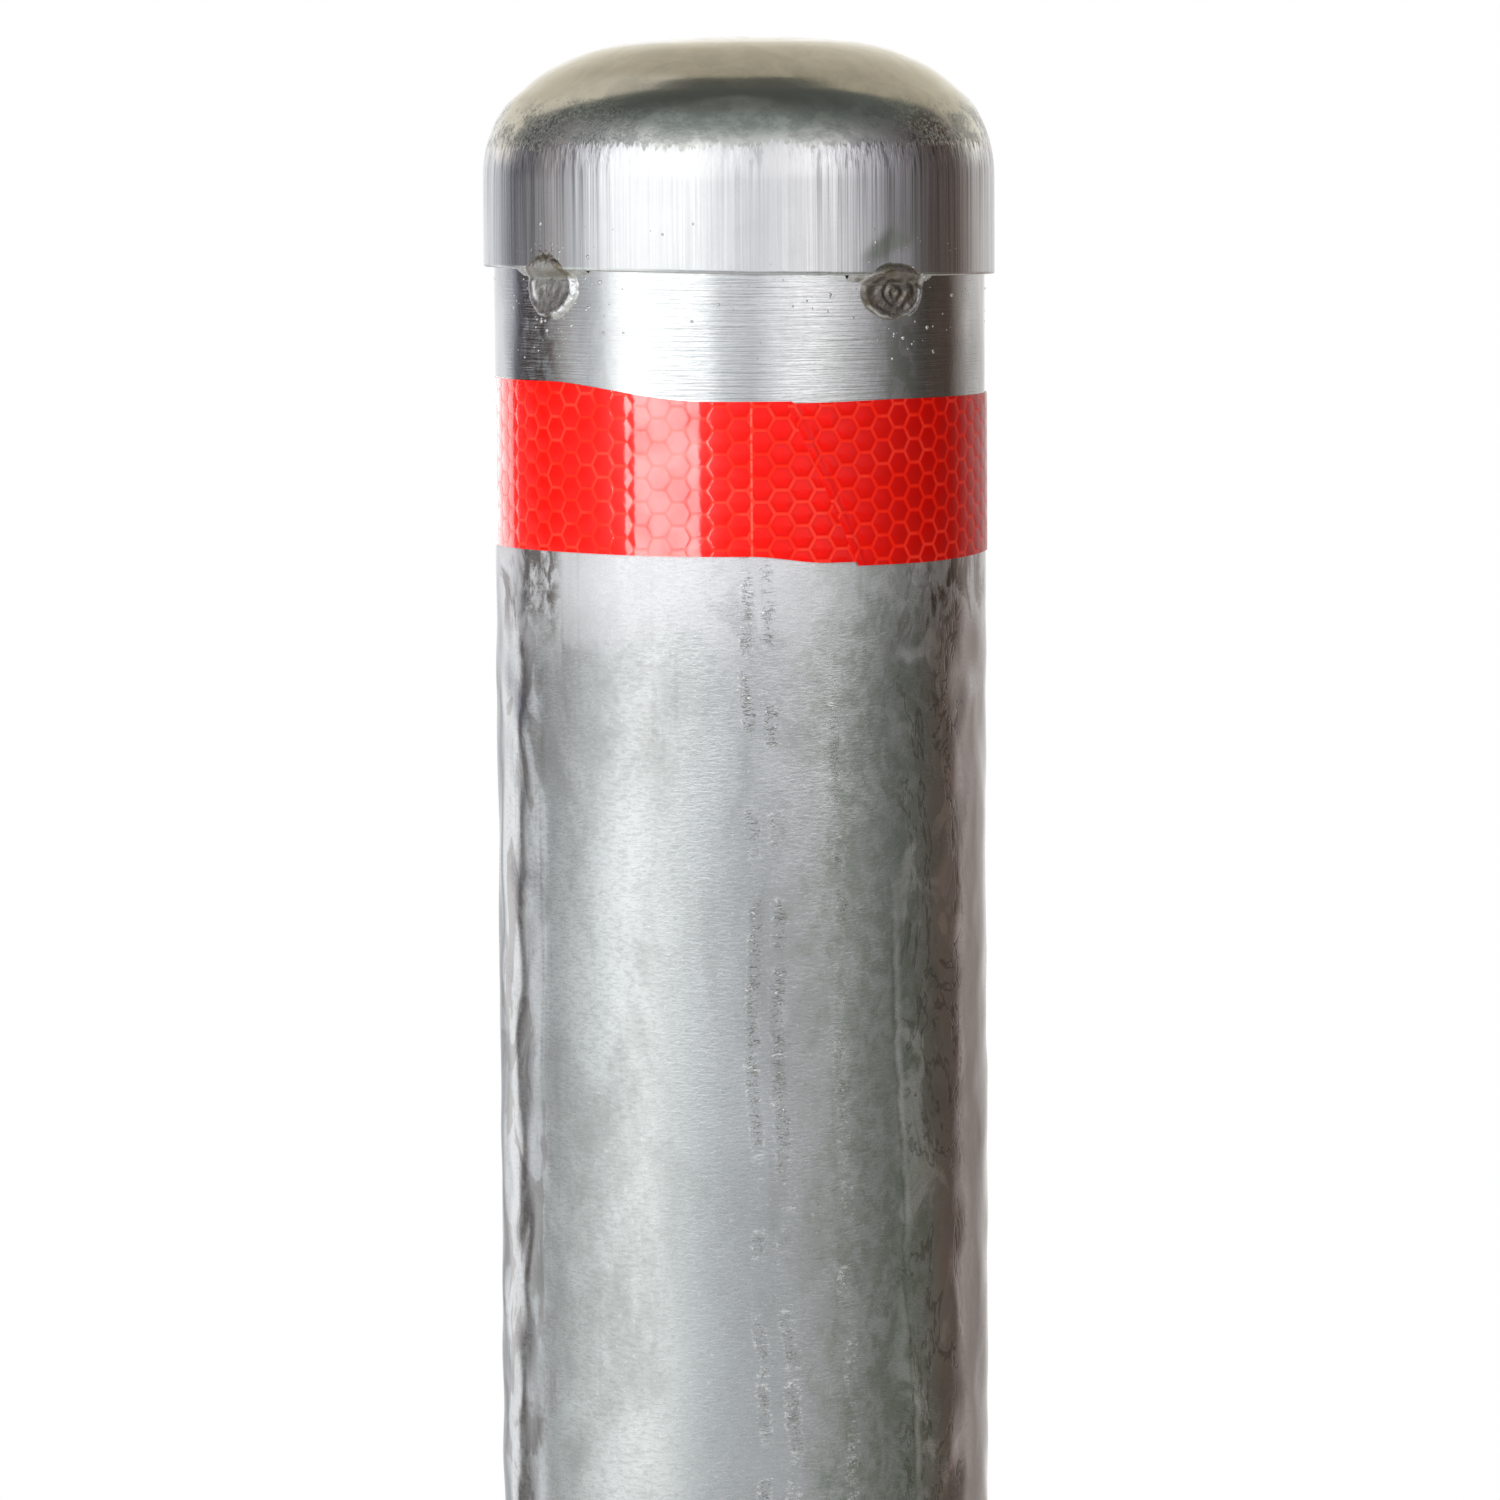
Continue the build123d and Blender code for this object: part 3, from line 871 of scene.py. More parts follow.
def build_cap(cap, welds, finish):
    """The cap: skirt, shoulder and crown in one line, spun, given its wall and an uneven lip."""
    bm = bmesh.new()
    knuckle_centre = CAP_RADIUS - cap.knuckle_radius
    crown_centre_z = CROWN_Z - cap.crown_radius
    shoulder_z = crown_centre_z + sqrt((cap.crown_radius - cap.knuckle_radius) ** 2 - knuckle_centre**2)
    tilt = atan2(knuckle_centre, shoulder_z - crown_centre_z)
    verts, edges = line_of_points(bm, ((CAP_RADIUS, LIP_Z), (CAP_RADIUS, shoulder_z)))
    shoulder = verts[1]
    for centre, sweep, steps in (
        ((knuckle_centre, 0, shoulder_z), pi / 2 - tilt, 26),
        ((0, 0, crown_centre_z), tilt, 22),
    ):
        swept = bmesh.ops.spin(
            bm, geom=[shoulder], cent=centre, axis=(0, 1, 0), dvec=(0, 0, 0), angle=-sweep, steps=steps
        )
        shoulder = next(item for item in swept["geom_last"] if isinstance(item, bmesh.types.BMVert))
    shoulder.co.x = 0.0
    bmesh.ops.subdivide_edges(bm, edges=edges, cuts=23)
    spin_round_post(bm, cap.turns)
    bmesh.ops.solidify(bm, geom=bm.faces[:], thickness=cap.wall)
    bmesh.ops.recalc_face_normals(bm, faces=bm.faces)
    skirt = shoulder_z - LIP_Z
    for vert in bm.verts:
        turn = turn_of(vert.co)
        share = ease(skirt, 0.0, vert.co.z - LIP_Z)
        across = wrap(turn - welds.front_right) * CAP_RADIUS
        radius = hypot(vert.co.x, vert.co.y)
        if radius > CAP_RADIUS - cap.wall / 2:
            uneven = radius + 0.00006 * wander(vert.co, 0.02, 4.0)
            if abs(across) < 20 * MM:
                uneven = min(uneven, ground_radius(cap, across, vert.co.z - LIP_Z))
            set_radius(vert.co, uneven)
        leaning = ease(0.0, CROWN_Z - shoulder_z, vert.co.z - shoulder_z + 4.0 * MM)
        dipped = ease(34 * MM, 52 * MM, radius) * ease(69 * MM, 60 * MM, radius)
        vert.co.z += share * (lip_height(cap, turn) - LIP_Z) + cap.crown_tilt * vert.co.x * leaning
        vert.co.z = min(vert.co.z - cap.shoulder_dip * dipped, CROWN_Z)
    sharp = [edge for edge in bm.edges if edge.calc_face_angle(0.0) > radians(60)]
    lip = [edge for edge in sharp if hypot(*edge.verts[0].co.xy) > CAP_RADIUS - cap.wall / 2]
    bmesh.ops.bevel(
        bm,
        geom=lip,
        offset=cap.lip_round,
        offset_type="OFFSET",
        segments=3,
        profile=0.5,
        affect="EDGES",
        material=-1,
    )
    finish_piece(bm, "pressed_dome_cap", ["dome_cap"], dome_material(finish, cap))


# ---- Tack welds -----------------------------------------------------------------------------------


class WeldShape:
    """One tack weld's lumps and hollows, in millimetres from the lip at the weld's angle."""

    def __init__(self, seed, centre, half_size, dish, swirl, ridges, burn=0.0, clean=0.0):
        self.seed = seed
        self.centre = centre
        self.half_size = half_size
        self.dish = dish
        self.swirl = swirl
        self.ridges = ridges
        self.burn = burn
        self.clean = clean

    def at(self, across, up):
        """(height, brightness) of the weld here, in millimetres and 0 to 1."""
        dx = (across - self.centre[0]) / self.half_size[0]
        dy = (up - self.centre[1]) / self.half_size[1]
        way = atan2(dy, dx)
        spot = Vector((across, up, self.seed))
        out = hypot(dx, dy) * (1 + 0.07 * wander(Vector((cos(way), sin(way), self.seed)), 0.6))
        pad = ease(1.16, 0.96, out)
        dished = self.dish * ease(1.0, 0.25, out)
        ripples = self.swirl * sin(
            15.0 * out + 2.2 * wander(spot, 4.5) + 0.8 * sin(way)
        ) * ease(1.0, 0.85, out)
        lumps = 0.10 * wander(spot, 1.7) + 0.05 * wander(spot, 0.75, 4.0)
        height = 0.7 * pad - dished + ripples + lumps * ease(1.25, 1.0, out)
        bright = self.clean * ease(1.0, 0.8, out) * (0.8 + 0.3 * wander(spot, 3.5, 5.0))
        for low, high, reach, wide, tall, lumpy in self.ridges:
            into = wrap(way - radians(low)) % (2 * pi)
            span = radians(high - low)
            window = ease(0.0, 0.25, into) * ease(span, span - 0.25, into) if into < span else 0.0
            bumpy = 1 + lumpy * (wander(spot, 1.3, 2.0) + 0.6 * wander(spot, 0.6, 6.0))
            crest = window * ridge(out - reach - 0.05 * wander(spot, 3.0, 1.0), wide)
            height += tall * crest * bumpy
            # Painted highlight: the crest of each ridge is coloured bright.
            bright = max(bright, crest)
        burnt = self.burn * ease(7.0, 3.0, hypot(across * 0.8, up - 3.0)) * ease(-1.0, 1.0, up)
        height += burnt * (0.05 + 0.3 * wander(spot, 1.1, 7.0))
        outside = ease(1.06, 1.2, out)
        bright = max(bright, outside * (1 - burnt) * (0.7 + 0.3 * wander(spot, 1.5, 3.0)))
        return height, min(max(bright, 0.0), 1.0)


WELD_SHAPES = {
    "front_left": WeldShape(
        1.0,
        (0.2, -4.4),
        (8.6, 7.8),
        0.55,
        0.03,
        (
            (150, 262, 1.12, 0.06, 0.6, 0.25),
            (160, 225, 0.84, 0.05, 0.4, 0.2),
            (268, 385, 1.05, 0.14, 0.6, 0.9),
        ),
        1.0,
        0.42,
    ),
    "front_right": WeldShape(
        2.0,
        (0.0, -4.4),
        (9.3, 7.0),
        0.25,
        0.2,
        (
            (285, 375, 1.03, 0.05, 0.6, 0.3),
            (300, 372, 1.17, 0.05, 0.45, 0.4),
            (205, 270, 1.0, 0.035, 0.25, 0.3),
            (5, 40, 1.2, 0.11, 0.8, 0.9),
        ),
    ),
    "back_right": WeldShape(
        3.0,
        (0.5, -3.8),
        (8.6, 7.2),
        0.9,
        0.12,
        ((180, 300, 1.08, 0.09, 0.8, 0.4), (300, 380, 1.12, 0.14, 0.7, 0.8)),
        0.5,
    ),
    "back_left": WeldShape(
        4.0,
        (-0.4, -4.6),
        (8.2, 7.4),
        0.7,
        0.14,
        ((200, 330, 1.05, 0.08, 0.7, 0.4), (330, 400, 1.14, 0.12, 0.9, 0.8)),
        0.3,
    ),
}


def build_weld(name, turn, shape, cap, welds, material):
    """One tack weld: a fine grid wrapped over the lip, raised into its lumps and closed behind."""
    bm = bmesh.new()
    half_wide, half_tall = 14.5 * MM, 13.0 * MM
    middle_up = -4.0 * MM
    columns = round(2 * half_wide / welds.grain)
    rows = round(2 * half_tall / welds.grain)
    bmesh.ops.create_grid(bm, x_segments=columns, y_segments=rows, size=1.0)
    layer = bm.verts.layers.float.new("bright")
    lip_z = lip_height(cap, turn)
    sunk = 0.5 * MM

    def bed(up):
        """Radius of the metal under the weld: the tube below the lip and the cap above it."""
        return TUBE_RADIUS + (CAP_RADIUS - TUBE_RADIUS) * ease(-2.6 * MM, 0.8 * MM, up)

    def wrap_on(vert, lift):
        """Where a vertex of the flat grid goes, this far above the metal under it."""
        across, up = vert.co.x * half_wide, vert.co.y * half_tall + middle_up
        return round_post(turn + across / TUBE_RADIUS, bed(up) + lift, lip_z + up)

    front = bm.faces[:]
    back = bmesh.ops.extrude_face_region(bm, geom=front, use_keep_orig=True)
    back_verts = [item for item in back["geom"] if isinstance(item, bmesh.types.BMVert)]
    behind = set(back_verts)
    for vert in bm.verts:
        across, up = vert.co.x * half_wide / MM, (vert.co.y * half_tall + middle_up) / MM
        if vert in behind:
            vert.co = wrap_on(vert, -1.6 * MM)
            continue
        height, bright = shape.at(across, up)
        rim = max(abs(vert.co.x), abs(vert.co.y))
        vert[layer] = bright
        lift = height * MM - sunk * ease(0.12, -0.02, height) - sunk * ease(0.9, 1.0, rim)
        vert.co = wrap_on(vert, lift)
    bmesh.ops.recalc_face_normals(bm, faces=bm.faces)
    finish_piece(bm, f"tack_weld_{name}", [f"cap_weld_{name}"], material, 75.0)


def build_spatter(cap, welds, angles, material):
    """Beads of weld metal thrown on to the tube and the skirt round each weld."""
    bm = bmesh.new()
    layer = bm.verts.layers.float.new("bright")
    rng = random.Random(7)
    for index in range(welds.spatter):
        turn = angles[index % len(angles)] + rng.gauss(0.0, rng.choice((0.11, 0.16, 0.4)))
        below_lip = rng.random() < 0.9
        drop = -abs(rng.gauss(0.0, 11.0)) * MM - 1.5 * MM if below_lip else rng.uniform(2.0, 14.0) * MM
        height = lip_height(cap, turn) + drop
        radius = (TUBE_RADIUS if drop < 0 else CAP_RADIUS) - 0.05 * MM
        size = rng.choice((0.16, 0.2, 0.24, 0.3, 0.36, 0.5)) * MM
        place = Matrix.Translation(round_post(turn, radius, height)) @ Matrix.Rotation(turn, 4, "Z")
        squash = Matrix.Diagonal(
            (size * rng.uniform(0.9, 1.6), size * 0.7, size * rng.uniform(0.8, 1.3), 1.0)
        )
        made = bmesh.ops.create_icosphere(bm, subdivisions=2, radius=1.0, matrix=place @ squash)
        for vert in made["verts"]:
            vert[layer] = 0.85
    finish_piece(bm, "weld_spatter", [], material, 80.0)


# ---- Reflective tape ------------------------------------------------------------------------------


def cell_edge(across, up, side):
    """The honeycomb of the tape: 0 in the middle of a cell and 1 on its edge."""
    pitch = sqrt(3.0)
    best = 1.0
    for shift in (0.0, 0.5):
        column = across / side / 3.0 - shift
        row = up / side / pitch - shift
        dx = abs(column - floor(column + 0.5)) * 3.0
        dy = abs(row - floor(row + 0.5)) * pitch
        best = min(best, max(dx * pitch / 2 + dy / 2, dy) / (pitch / 2))
    return best


def tape_edges(turn, on_top):
    """(lower, upper) edge of the hand-laid tape at this angle, in millimetres off its middle."""
    degrees_round = turn * 180 / pi
    high = 21.0 + 5.2 * ease(-6, -50, degrees_round) * ease(-185, -110, degrees_round)
    low = -21.6 + 0.5 * ease(-10, -50, degrees_round)
    under_low = low - 2.0 * ease(2, 20, degrees_round)
    over_low = low - 3.1 + 0.9 * ease(40, 85, degrees_round) + 2.2 * ease(90, 170, degrees_round)
    over_low += 3.1 * ease(0, -60, degrees_round)
    over_high = high - 0.5 * ease(40, 14, degrees_round) * ease(0, 8, degrees_round)
    return under_low + (over_low - under_low) * on_top, high + (over_high - high) * on_top


def build_tape(tape, finish):
    """The tape: a fine sheet wrapped once round to the left, with its end lapped over its start."""
    bm = bmesh.new()
    middle_z = (TAPE_LOW.z + TAPE_HIGH.z) / 2
    tall = TAPE_HIGH.z - TAPE_LOW.z
    sweep = 2 * pi + tape.lap
    columns = round(sweep * TUBE_RADIUS / tape.mesh_size)
    rows = round(tall / tape.mesh_size)
    bmesh.ops.create_grid(bm, x_segments=columns, y_segments=rows, size=1.0)

    def wrapped(flat):
        """(how far round, angle, height up the tape, share of the lap's step) for a flat point."""
        share = (flat.x + 1) / 2
        up = (flat.y + 1) / 2
        end = tape.lap_angle + tape.lap_slant * (up - 0.5)
        turn = end + tape.lap - share * sweep
        on_top = ease(2 * pi - radians(1.3), 2 * pi - radians(0.15), share * sweep)
        return share, turn, up, on_top

    def laid(flat):
        """(angle, height above the tape's middle in metres) where a flat point lies on the tube."""
        share, turn, up, _ = wrapped(flat)
        low, high = tape_edges(wrap(turn), ease(0.45, 0.75, share))
        return turn, (low + (high - low) * up) * MM

    uv = bm.loops.layers.uv.new("tape")
    for face in bm.faces:
        for loop in face.loops:
            turn, height = laid(loop.vert.co)
            loop[uv].uv = (turn * FILM_STRETCH * TUBE_RADIUS, height)
    made = bmesh.ops.extrude_face_region(bm, geom=bm.faces[:], use_keep_orig=True)
    upper_side = {item for item in made["geom"] if isinstance(item, bmesh.types.BMVert)}
    for vert in bm.verts:
        share, turn, up, on_top = wrapped(vert.co)
        turn, height = laid(vert.co)
        inner = TUBE_RADIUS + TAPE_GLUE + (tape.thickness + LAP_GLUE) * on_top
        lift = 0.0
        left_over = (1 - share) * sweep * TUBE_RADIUS
        if vert in upper_side:
            edge = cell_edge(turn * FILM_STRETCH * TUBE_RADIUS, height, tape.cell_side)
            rim = min(up, 1 - up) * tall
            lift = tape.thickness + tape.pillow * (1 - edge**2) * ease(0.0, 1.5 * MM, rim)
            lift *= 0.12 + 0.88 * ease(0.0, 5.0 * MM, left_over)
        vert.co = round_post(turn, inner + lift, middle_z + height)
    bmesh.ops.recalc_face_normals(bm, faces=bm.faces)
    finish_piece(
        bm, "reflective_band", ["reflective_tape"], tape_material(finish, tape), 50.0
    )


# ---- Base plate and foot weld ---------------------------------------------------------------------


def build_plate(base, finish):
    """The base plate: the CAD plate's shape with its sharp edges rounded as a zinc coat leaves them."""
    bm = bmesh.new()
    bm.from_mesh(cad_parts["base_plate"].data)
    bmesh.ops.remove_doubles(bm, verts=bm.verts, dist=1e-6)
    bmesh.ops.dissolve_limit(bm, angle_limit=radians(1.0), verts=bm.verts, edges=bm.edges)
    sharp = [
        edge for edge in bm.edges if len(edge.link_faces) == 2 and edge.calc_face_angle(0.0) > radians(35)
    ]
    bmesh.ops.bevel(
        bm,
        geom=sharp,
        offset=base.edge_round,
        offset_type="OFFSET",
        segments=3,
        profile=0.5,
        affect="EDGES",
        material=-1,
    )
    bmesh.ops.triangulate(bm, faces=[face for face in bm.faces if len(face.verts) > 4])
    finish_piece(bm, "ground_plate", ["base_plate"], zinc_plate_material(finish), 30.0)


def build_foot_weld(base, material):
    """The foot weld: a bead section spun round, then pushed into overlapping ripples."""
    bm = bmesh.new()
    leg = BEAD_HIGH.x - TUBE_RADIUS
    low, high = BEAD_LOW.z, BEAD_HIGH.z
    verts, edges = line_of_points(
        bm,
        (
            (TUBE_RADIUS - 0.4 * MM, low),
            (TUBE_RADIUS + leg, low),
            (TUBE_RADIUS, high),
            (TUBE_RADIUS - 0.4 * MM, high),
        ),
    )
    edges.append(bm.edges.new((verts[-1], verts[0])))
    bmesh.ops.subdivide_edges(bm, edges=[edges[1]], cuts=13)
    spin_round_post(bm, FOOT_WELD_STEPS)
    layer = bm.verts.layers.float.new("bright")
    circle = 2 * pi * (TUBE_RADIUS + leg / 2)
    for vert in bm.verts:
        radius = hypot(vert.co.x, vert.co.y)
        share = (radius - TUBE_RADIUS) / leg
        if share < -0.01 or (vert.co.z < low + 1e-5 and share < 0.99):
            continue
        turn = turn_of(vert.co)
        arch = sin(pi * min(max(share, 0.0), 1.0))
        along = turn / (2 * pi) * circle + 2.2 * MM * arch
        phase = (along / base.ripple_pitch) % 1.0
        lump = wander(vert.co, 0.004, 2.0)
        push = base.ripple_height * (phase**1.6) * (0.25 + arch) + 0.0008 * arch + 0.00012 * lump
        if vert.co.z < low + 1e-5:
            set_radius(vert.co, radius + min(push, 0.0) + 0.0002 * lump)
        else:
            set_radius(vert.co, radius + push * 0.7)
            vert.co.z += push * 0.7
        vert[layer] = 0.62 + 0.3 * phase
    bmesh.ops.recalc_face_normals(bm, faces=bm.faces)
    finish_piece(bm, "foot_weld", ["base_weld"], material, 80.0)


# ---- Stage ----------------------------------------------------------------------------------------


def build_world(recipe):
    """A room, plain white to the eye. The metal mirrors two rings of tones, a sweep and a dark ceiling."""
    way = recipe.node("ShaderNodeTexCoord").outputs["Generated"]
    x, y, z = recipe.parts(way)
    turn = recipe.turn_of(x, y)
    place = recipe.between(turn, -pi, pi, smooth=False)
    rise = recipe.math("ARCSINE", z)

    def ring(*stops):
        """Tones round the post, each at its angle from the front in degrees."""
        return recipe.ramp(place, [((degrees_round + 180.0) / 360.0, tint) for degrees_round, tint in stops])

    upper = ring(
        (-180, (1.25, 1.25, 1.25)), (-164, (0.95, 0.95, 0.97)), (-146, (0.85, 0.85, 0.88)),
        (-134, (0.5, 0.5, 0.55)), (-126, (0.14, 0.14, 0.17)), (-106, (0.13, 0.12, 0.13)),
        (-90, (0.42, 0.38, 0.38)), (-74, (0.6, 0.6, 0.66)), (-58, (1.45, 1.45, 1.47)),
        (-18, (1.62, 1.62, 1.62)), (-6, (1.24, 1.24, 1.27)), (6, (0.98, 0.97, 1.01)),
        (18, (1.12, 1.1, 1.12)), (31, (1.32, 1.29, 1.3)), (44, (1.12, 1.09, 1.12)),
        (58, (0.65, 0.62, 0.66)), (74, (0.25, 0.235, 0.25)), (96, (0.08, 0.06, 0.055)),
        (116, (0.09, 0.065, 0.055)), (126, (0.3, 0.26, 0.24)), (136, (0.6, 0.57, 0.55)),
        (164, (0.75, 0.74, 0.73)), (180, (1.25, 1.25, 1.25)),
    )
    lower = ring(
        (-180, (1.15, 1.15, 1.15)), (-168, (0.6, 0.61, 0.62)), (-158, (0.4, 0.41, 0.43)),
        (-148, (1.0, 1.0, 1.02)), (-135, (1.05, 1.05, 1.06)), (-130, (0.2, 0.19, 0.19)),
        (-124, (0.24, 0.23, 0.23)), (-118, (0.8, 0.81, 0.83)), (-110, (0.72, 0.74, 0.75)),
        (-103, (0.5, 0.53, 0.54)), (-88, (0.72, 0.76, 0.75)), (-64, (1.07, 1.12, 1.11)),
        (-48, (1.08, 1.12, 1.1)), (-36, (0.78, 0.83, 0.82)), (-20, (0.47, 0.515, 0.535)),
        (-6, (0.42, 0.455, 0.475)), (16, (0.39, 0.42, 0.435)), (28, (0.32, 0.345, 0.35)),
        (42, (0.24, 0.262, 0.24)), (62, (0.19, 0.205, 0.178)), (90, (0.165, 0.17, 0.145)),
        (102, (0.13, 0.105, 0.085)), (118, (0.12, 0.085, 0.07)), (128, (0.4, 0.34, 0.32)),
        (142, (0.3, 0.25, 0.23)), (158, (0.5, 0.46, 0.44)), (180, (1.05, 1.02, 1.0)),
    )
    level = recipe.blend(recipe.between(rise, radians(-5.5), radians(-1.8)), lower, upper)
    ceiling = recipe.blend(
        recipe.between(rise, radians(44), radians(76)),
        (0.36, 0.40, 0.375, 1.0),
        (0.165, 0.172, 0.16, 1.0),
    )
    off_middle = recipe.between(
        recipe.math("ABSOLUTE", recipe.math("ADD", turn, 0.12)), radians(28), radians(78), 0.0, 0.75
    )
    ceiling = recipe.blend(off_middle, ceiling, (0.075, 0.078, 0.07, 1.0))
    room = recipe.blend(recipe.between(rise, radians(19), radians(47)), level, ceiling)
    behind = recipe.larger(y, 0.001)
    rising = recipe.math("DIVIDE", z, behind)
    aside = recipe.math("DIVIDE", recipe.math("ABSOLUTE", x), behind)
    widening = recipe.math("ADD", 1.12, recipe.times(rising, 0.31))
    leaning = recipe.math("SUBTRACT", 1.2, recipe.times(recipe.math("SIGN", x), 0.1))
    inside = recipe.times(
        recipe.between(recipe.math("ADD", rising, recipe.times(aside, leaning)), 4.9, 3.8),
        recipe.between(recipe.math("SUBTRACT", aside, widening), 0.3, -0.2),
    )
    sweep = recipe.ramp(
        recipe.between(recipe.math("ARCTAN2", z, behind), 0.0, pi / 2, smooth=False),
        (
            (0.0, (1.2, 1.2, 1.2)), (0.08, (1.12, 1.1, 1.06)), (0.165, (0.93, 0.87, 0.76)),
            (0.35, (0.67, 0.6, 0.47)), (0.55, (0.55, 0.485, 0.375)), (0.84, (0.45, 0.395, 0.3)),
        ),
    )
    at_left = recipe.between(recipe.math("DIVIDE", x, behind), -0.35, -0.95, 0.0, 0.45)
    sweep = recipe.blend(at_left, sweep, (1.0, 0.93, 0.82, 1.0))
    above_level = recipe.between(rise, radians(2.0), radians(9.0))
    seen = recipe.blend(recipe.times(inside, above_level), room, sweep)
    to_eye = recipe.node("ShaderNodeLightPath").outputs["Is Camera Ray"]
    shown = recipe.blend(to_eye, seen, (1.0, 1.0, 1.0, 1.0))
    light = recipe.node("ShaderNodeBackground", {"Color": shown, "Strength": 1.0})
    recipe.node("ShaderNodeOutputWorld", {"Surface": light.outputs[0]})


def build_floor(studio):
    """A pale round floor that fades out at its rim."""
    bm = bmesh.new()
    bmesh.ops.create_circle(bm, cap_ends=True, radius=studio.floor_radius, segments=96)
    mesh = bpy.data.meshes.new("floor")
    bm.to_mesh(mesh)
    bm.free()
    material, recipe, shader, coords = new_material("pale_floor")
    shader.inputs["Base Color"].default_value = (0.88, 0.88, 0.87, 1.0)
    shader.inputs["Roughness"].default_value = 0.75
    reach = recipe.vector("LENGTH", coords)
    fade = recipe.between(reach, studio.floor_radius * 0.98, studio.floor_radius * 0.35)
    recipe.feed(shader.inputs["Alpha"], fade)
    mesh.materials.append(material)
    floor_disc = bpy.data.objects.new("floor", mesh)
    bpy.context.scene.collection.objects.link(floor_disc)


def build_soft_box(name, power, turn, far, wide, tall, bottom):
    """A large soft box that faces the post, out of the camera's sight."""
    data = bpy.data.lights.new(name, "AREA")
    data.shape = "RECTANGLE"
    data.size, data.size_y = wide, tall
    data.energy = power
    lamp = bpy.data.objects.new(name, data)
    lamp.location = round_post(turn, far, bottom + tall / 2)
    lamp.rotation_euler = (pi / 2, 0.0, turn)
    lamp.visible_camera = False
    bpy.context.scene.collection.objects.link(lamp)
    return lamp


def build_lights(studio):
    """A soft key box to the front left, and two boxes that glint only on the tape's clear film."""
    key = build_soft_box("soft_key", studio.key, studio.key_turn, 3.0, 1.95, 2.0, 0.66)
    key.visible_glossy = False
    film = bpy.data.collections.new("film")
    film.objects.link(bpy.data.objects["reflective_band"])
    for name, power, turn, wide in (
        ("film_glint", studio.glint, studio.key_turn, 1.75),
        ("film_edge_glint", studio.edge_glint, radians(-155), 2.83),
    ):
        glint = build_soft_box(name, power, turn, 2.9, wide, 2.5, 0.15)
        glint.visible_diffuse = False
        glint.light_linking.receiver_collection = film


def build_camera(studio):
    """The camera: in front of the post, just above the lip, tilted down and a touch off level."""
    data = bpy.data.cameras.new("camera")
    data.sensor_width = 36.0
    data.lens = studio.lens
    camera = bpy.data.objects.new("camera", data)
    camera.location = (0.0, -studio.distance, LIP_Z + studio.above_lip)
    forward = Vector((studio.aim / studio.distance, cos(studio.pitch), -sin(studio.pitch)))
    facing = forward.to_track_quat("-Z", "Y").to_matrix().to_4x4()
    camera.rotation_euler = (facing @ Matrix.Rotation(studio.roll, 4, "Z")).to_euler()
    bpy.context.scene.collection.objects.link(camera)
    bpy.context.scene.camera = camera


# ---- Operators ------------------------------------------------------------------------------------


class BOLLARD_OT_tube(bpy.types.Operator):
    """Build the galvanised tube"""

    bl_idname = "bollard.tube"
    bl_label = "Tube"

    def execute(self, context):
        scene = context.scene
        build_tube(scene.bollard_tube, scene.bollard_finish)
        return {"FINISHED"}


class BOLLARD_OT_cap(bpy.types.Operator):
    """Build the pressed dome cap"""

    bl_idname = "bollard.cap"
    bl_label = "Dome Cap"

    def execute(self, context):
        scene = context.scene
        build_cap(scene.bollard_cap, scene.bollard_welds, scene.bollard_finish)
        return {"FINISHED"}


class BOLLARD_OT_welds(bpy.types.Operator):
    """Build the tack welds, their spatter and the foot weld"""

    bl_idname = "bollard.welds"
    bl_label = "Welds"

    def execute(self, context):
        scene = context.scene
        material = weld_material(scene.bollard_finish)
        angles = {name: getattr(scene.bollard_welds, name) for name in WELD_SHAPES}
        for name, shape in WELD_SHAPES.items():
            build_weld(name, angles[name], shape, scene.bollard_cap, scene.bollard_welds, material)
        build_spatter(scene.bollard_cap, scene.bollard_welds, list(angles.values()), material)
        build_foot_weld(scene.bollard_base, material)
        return {"FINISHED"}


class BOLLARD_OT_tape(bpy.types.Operator):
    """Build the reflective tape"""

    bl_idname = "bollard.tape"
    bl_label = "Reflective Tape"

    def execute(self, context):
        scene = context.scene
        build_tape(scene.bollard_tape, scene.bollard_finish)
        return {"FINISHED"}


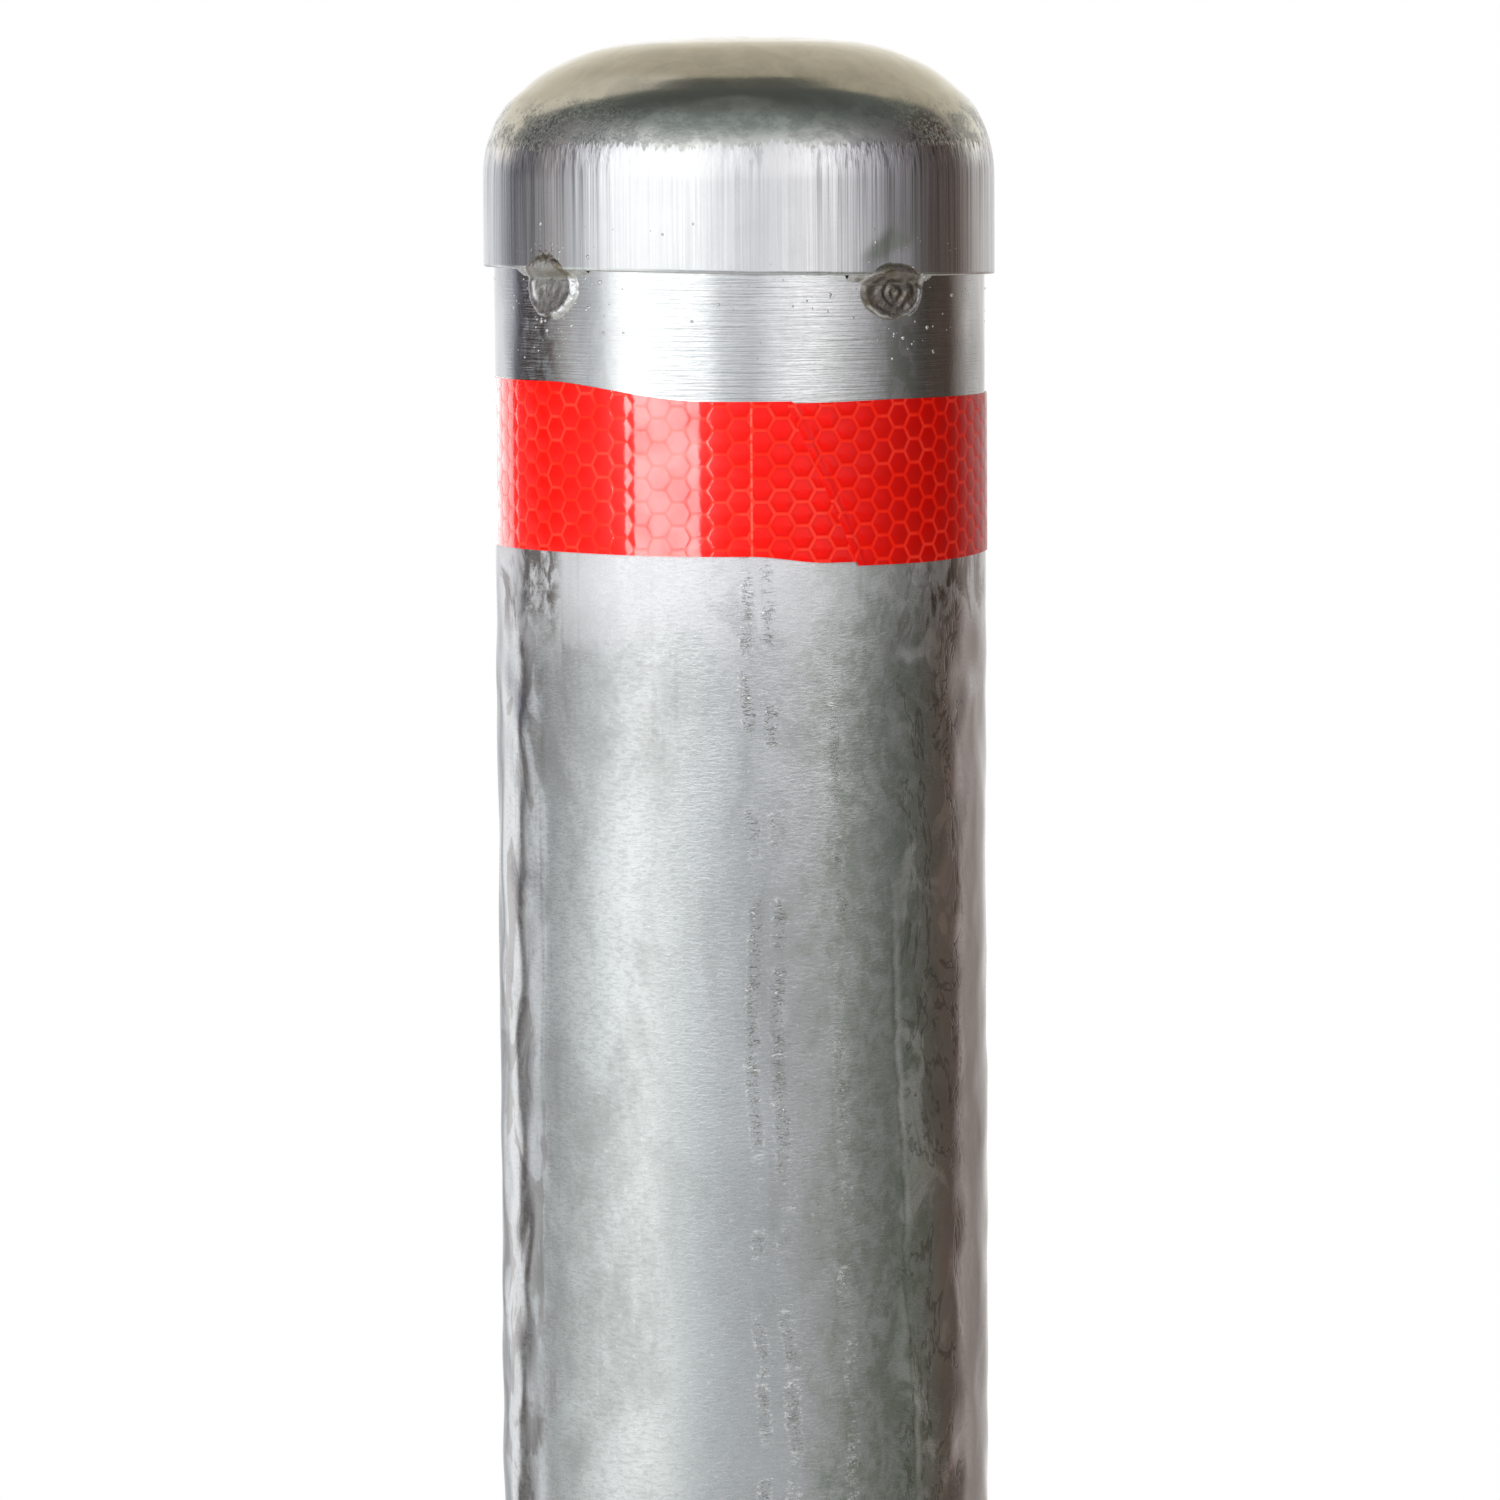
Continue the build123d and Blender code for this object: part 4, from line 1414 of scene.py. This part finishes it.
class BOLLARD_OT_plate(bpy.types.Operator):
    """Build the base plate"""

    bl_idname = "bollard.plate"
    bl_label = "Base Plate"

    def execute(self, context):
        scene = context.scene
        build_plate(scene.bollard_base, scene.bollard_finish)
        return {"FINISHED"}


class BOLLARD_OT_stage(bpy.types.Operator):
    """Build the floor, the lights and the camera"""

    bl_idname = "bollard.stage"
    bl_label = "Stage"

    def execute(self, context):
        scene = context.scene
        studio = scene.bollard_studio
        scene.world = bpy.data.worlds.new("studio")
        scene.world.use_nodes = True
        build_world(Recipe(scene.world.node_tree))
        scene.view_settings.view_transform = "Standard"
        build_floor(studio)
        build_lights(studio)
        build_camera(studio)
        return {"FINISHED"}


OPERATORS = (
    BOLLARD_OT_tube,
    BOLLARD_OT_cap,
    BOLLARD_OT_welds,
    BOLLARD_OT_tape,
    BOLLARD_OT_plate,
    BOLLARD_OT_stage,
)


class BOLLARD_PT_panel(bpy.types.Panel):
    """Lists the bollard's pieces and their settings"""

    bl_idname = "BOLLARD_PT_panel"
    bl_label = "Safety Bollard"
    bl_space_type = "VIEW_3D"
    bl_region_type = "UI"
    bl_category = "Bollard"

    def draw(self, context):
        for operator in OPERATORS:
            self.layout.operator(operator.bl_idname)
        for name, group in SETTINGS.items():
            box = self.layout.box()
            box.label(text=group.__doc__)
            for setting in group.__annotations__:
                box.prop(getattr(context.scene, name), setting)


CLASSES = (*SETTINGS.values(), *OPERATORS, BOLLARD_PT_panel)


def register():
    """Registers the classes and hangs the settings on the scene."""
    for cls in CLASSES:
        bpy.utils.register_class(cls)
    for name, group in SETTINGS.items():
        setattr(bpy.types.Scene, name, PointerProperty(type=group))


def unregister():
    """Takes the settings off the scene and unregisters the classes."""
    for name in SETTINGS:
        delattr(bpy.types.Scene, name)
    for cls in reversed(CLASSES):
        bpy.utils.unregister_class(cls)


def main():
    """Builds the whole bollard."""
    register()
    for operator in OPERATORS:
        group, name = operator.bl_idname.split(".")
        getattr(getattr(bpy.ops, group), name)()


if __name__ == "__main__":
    main()
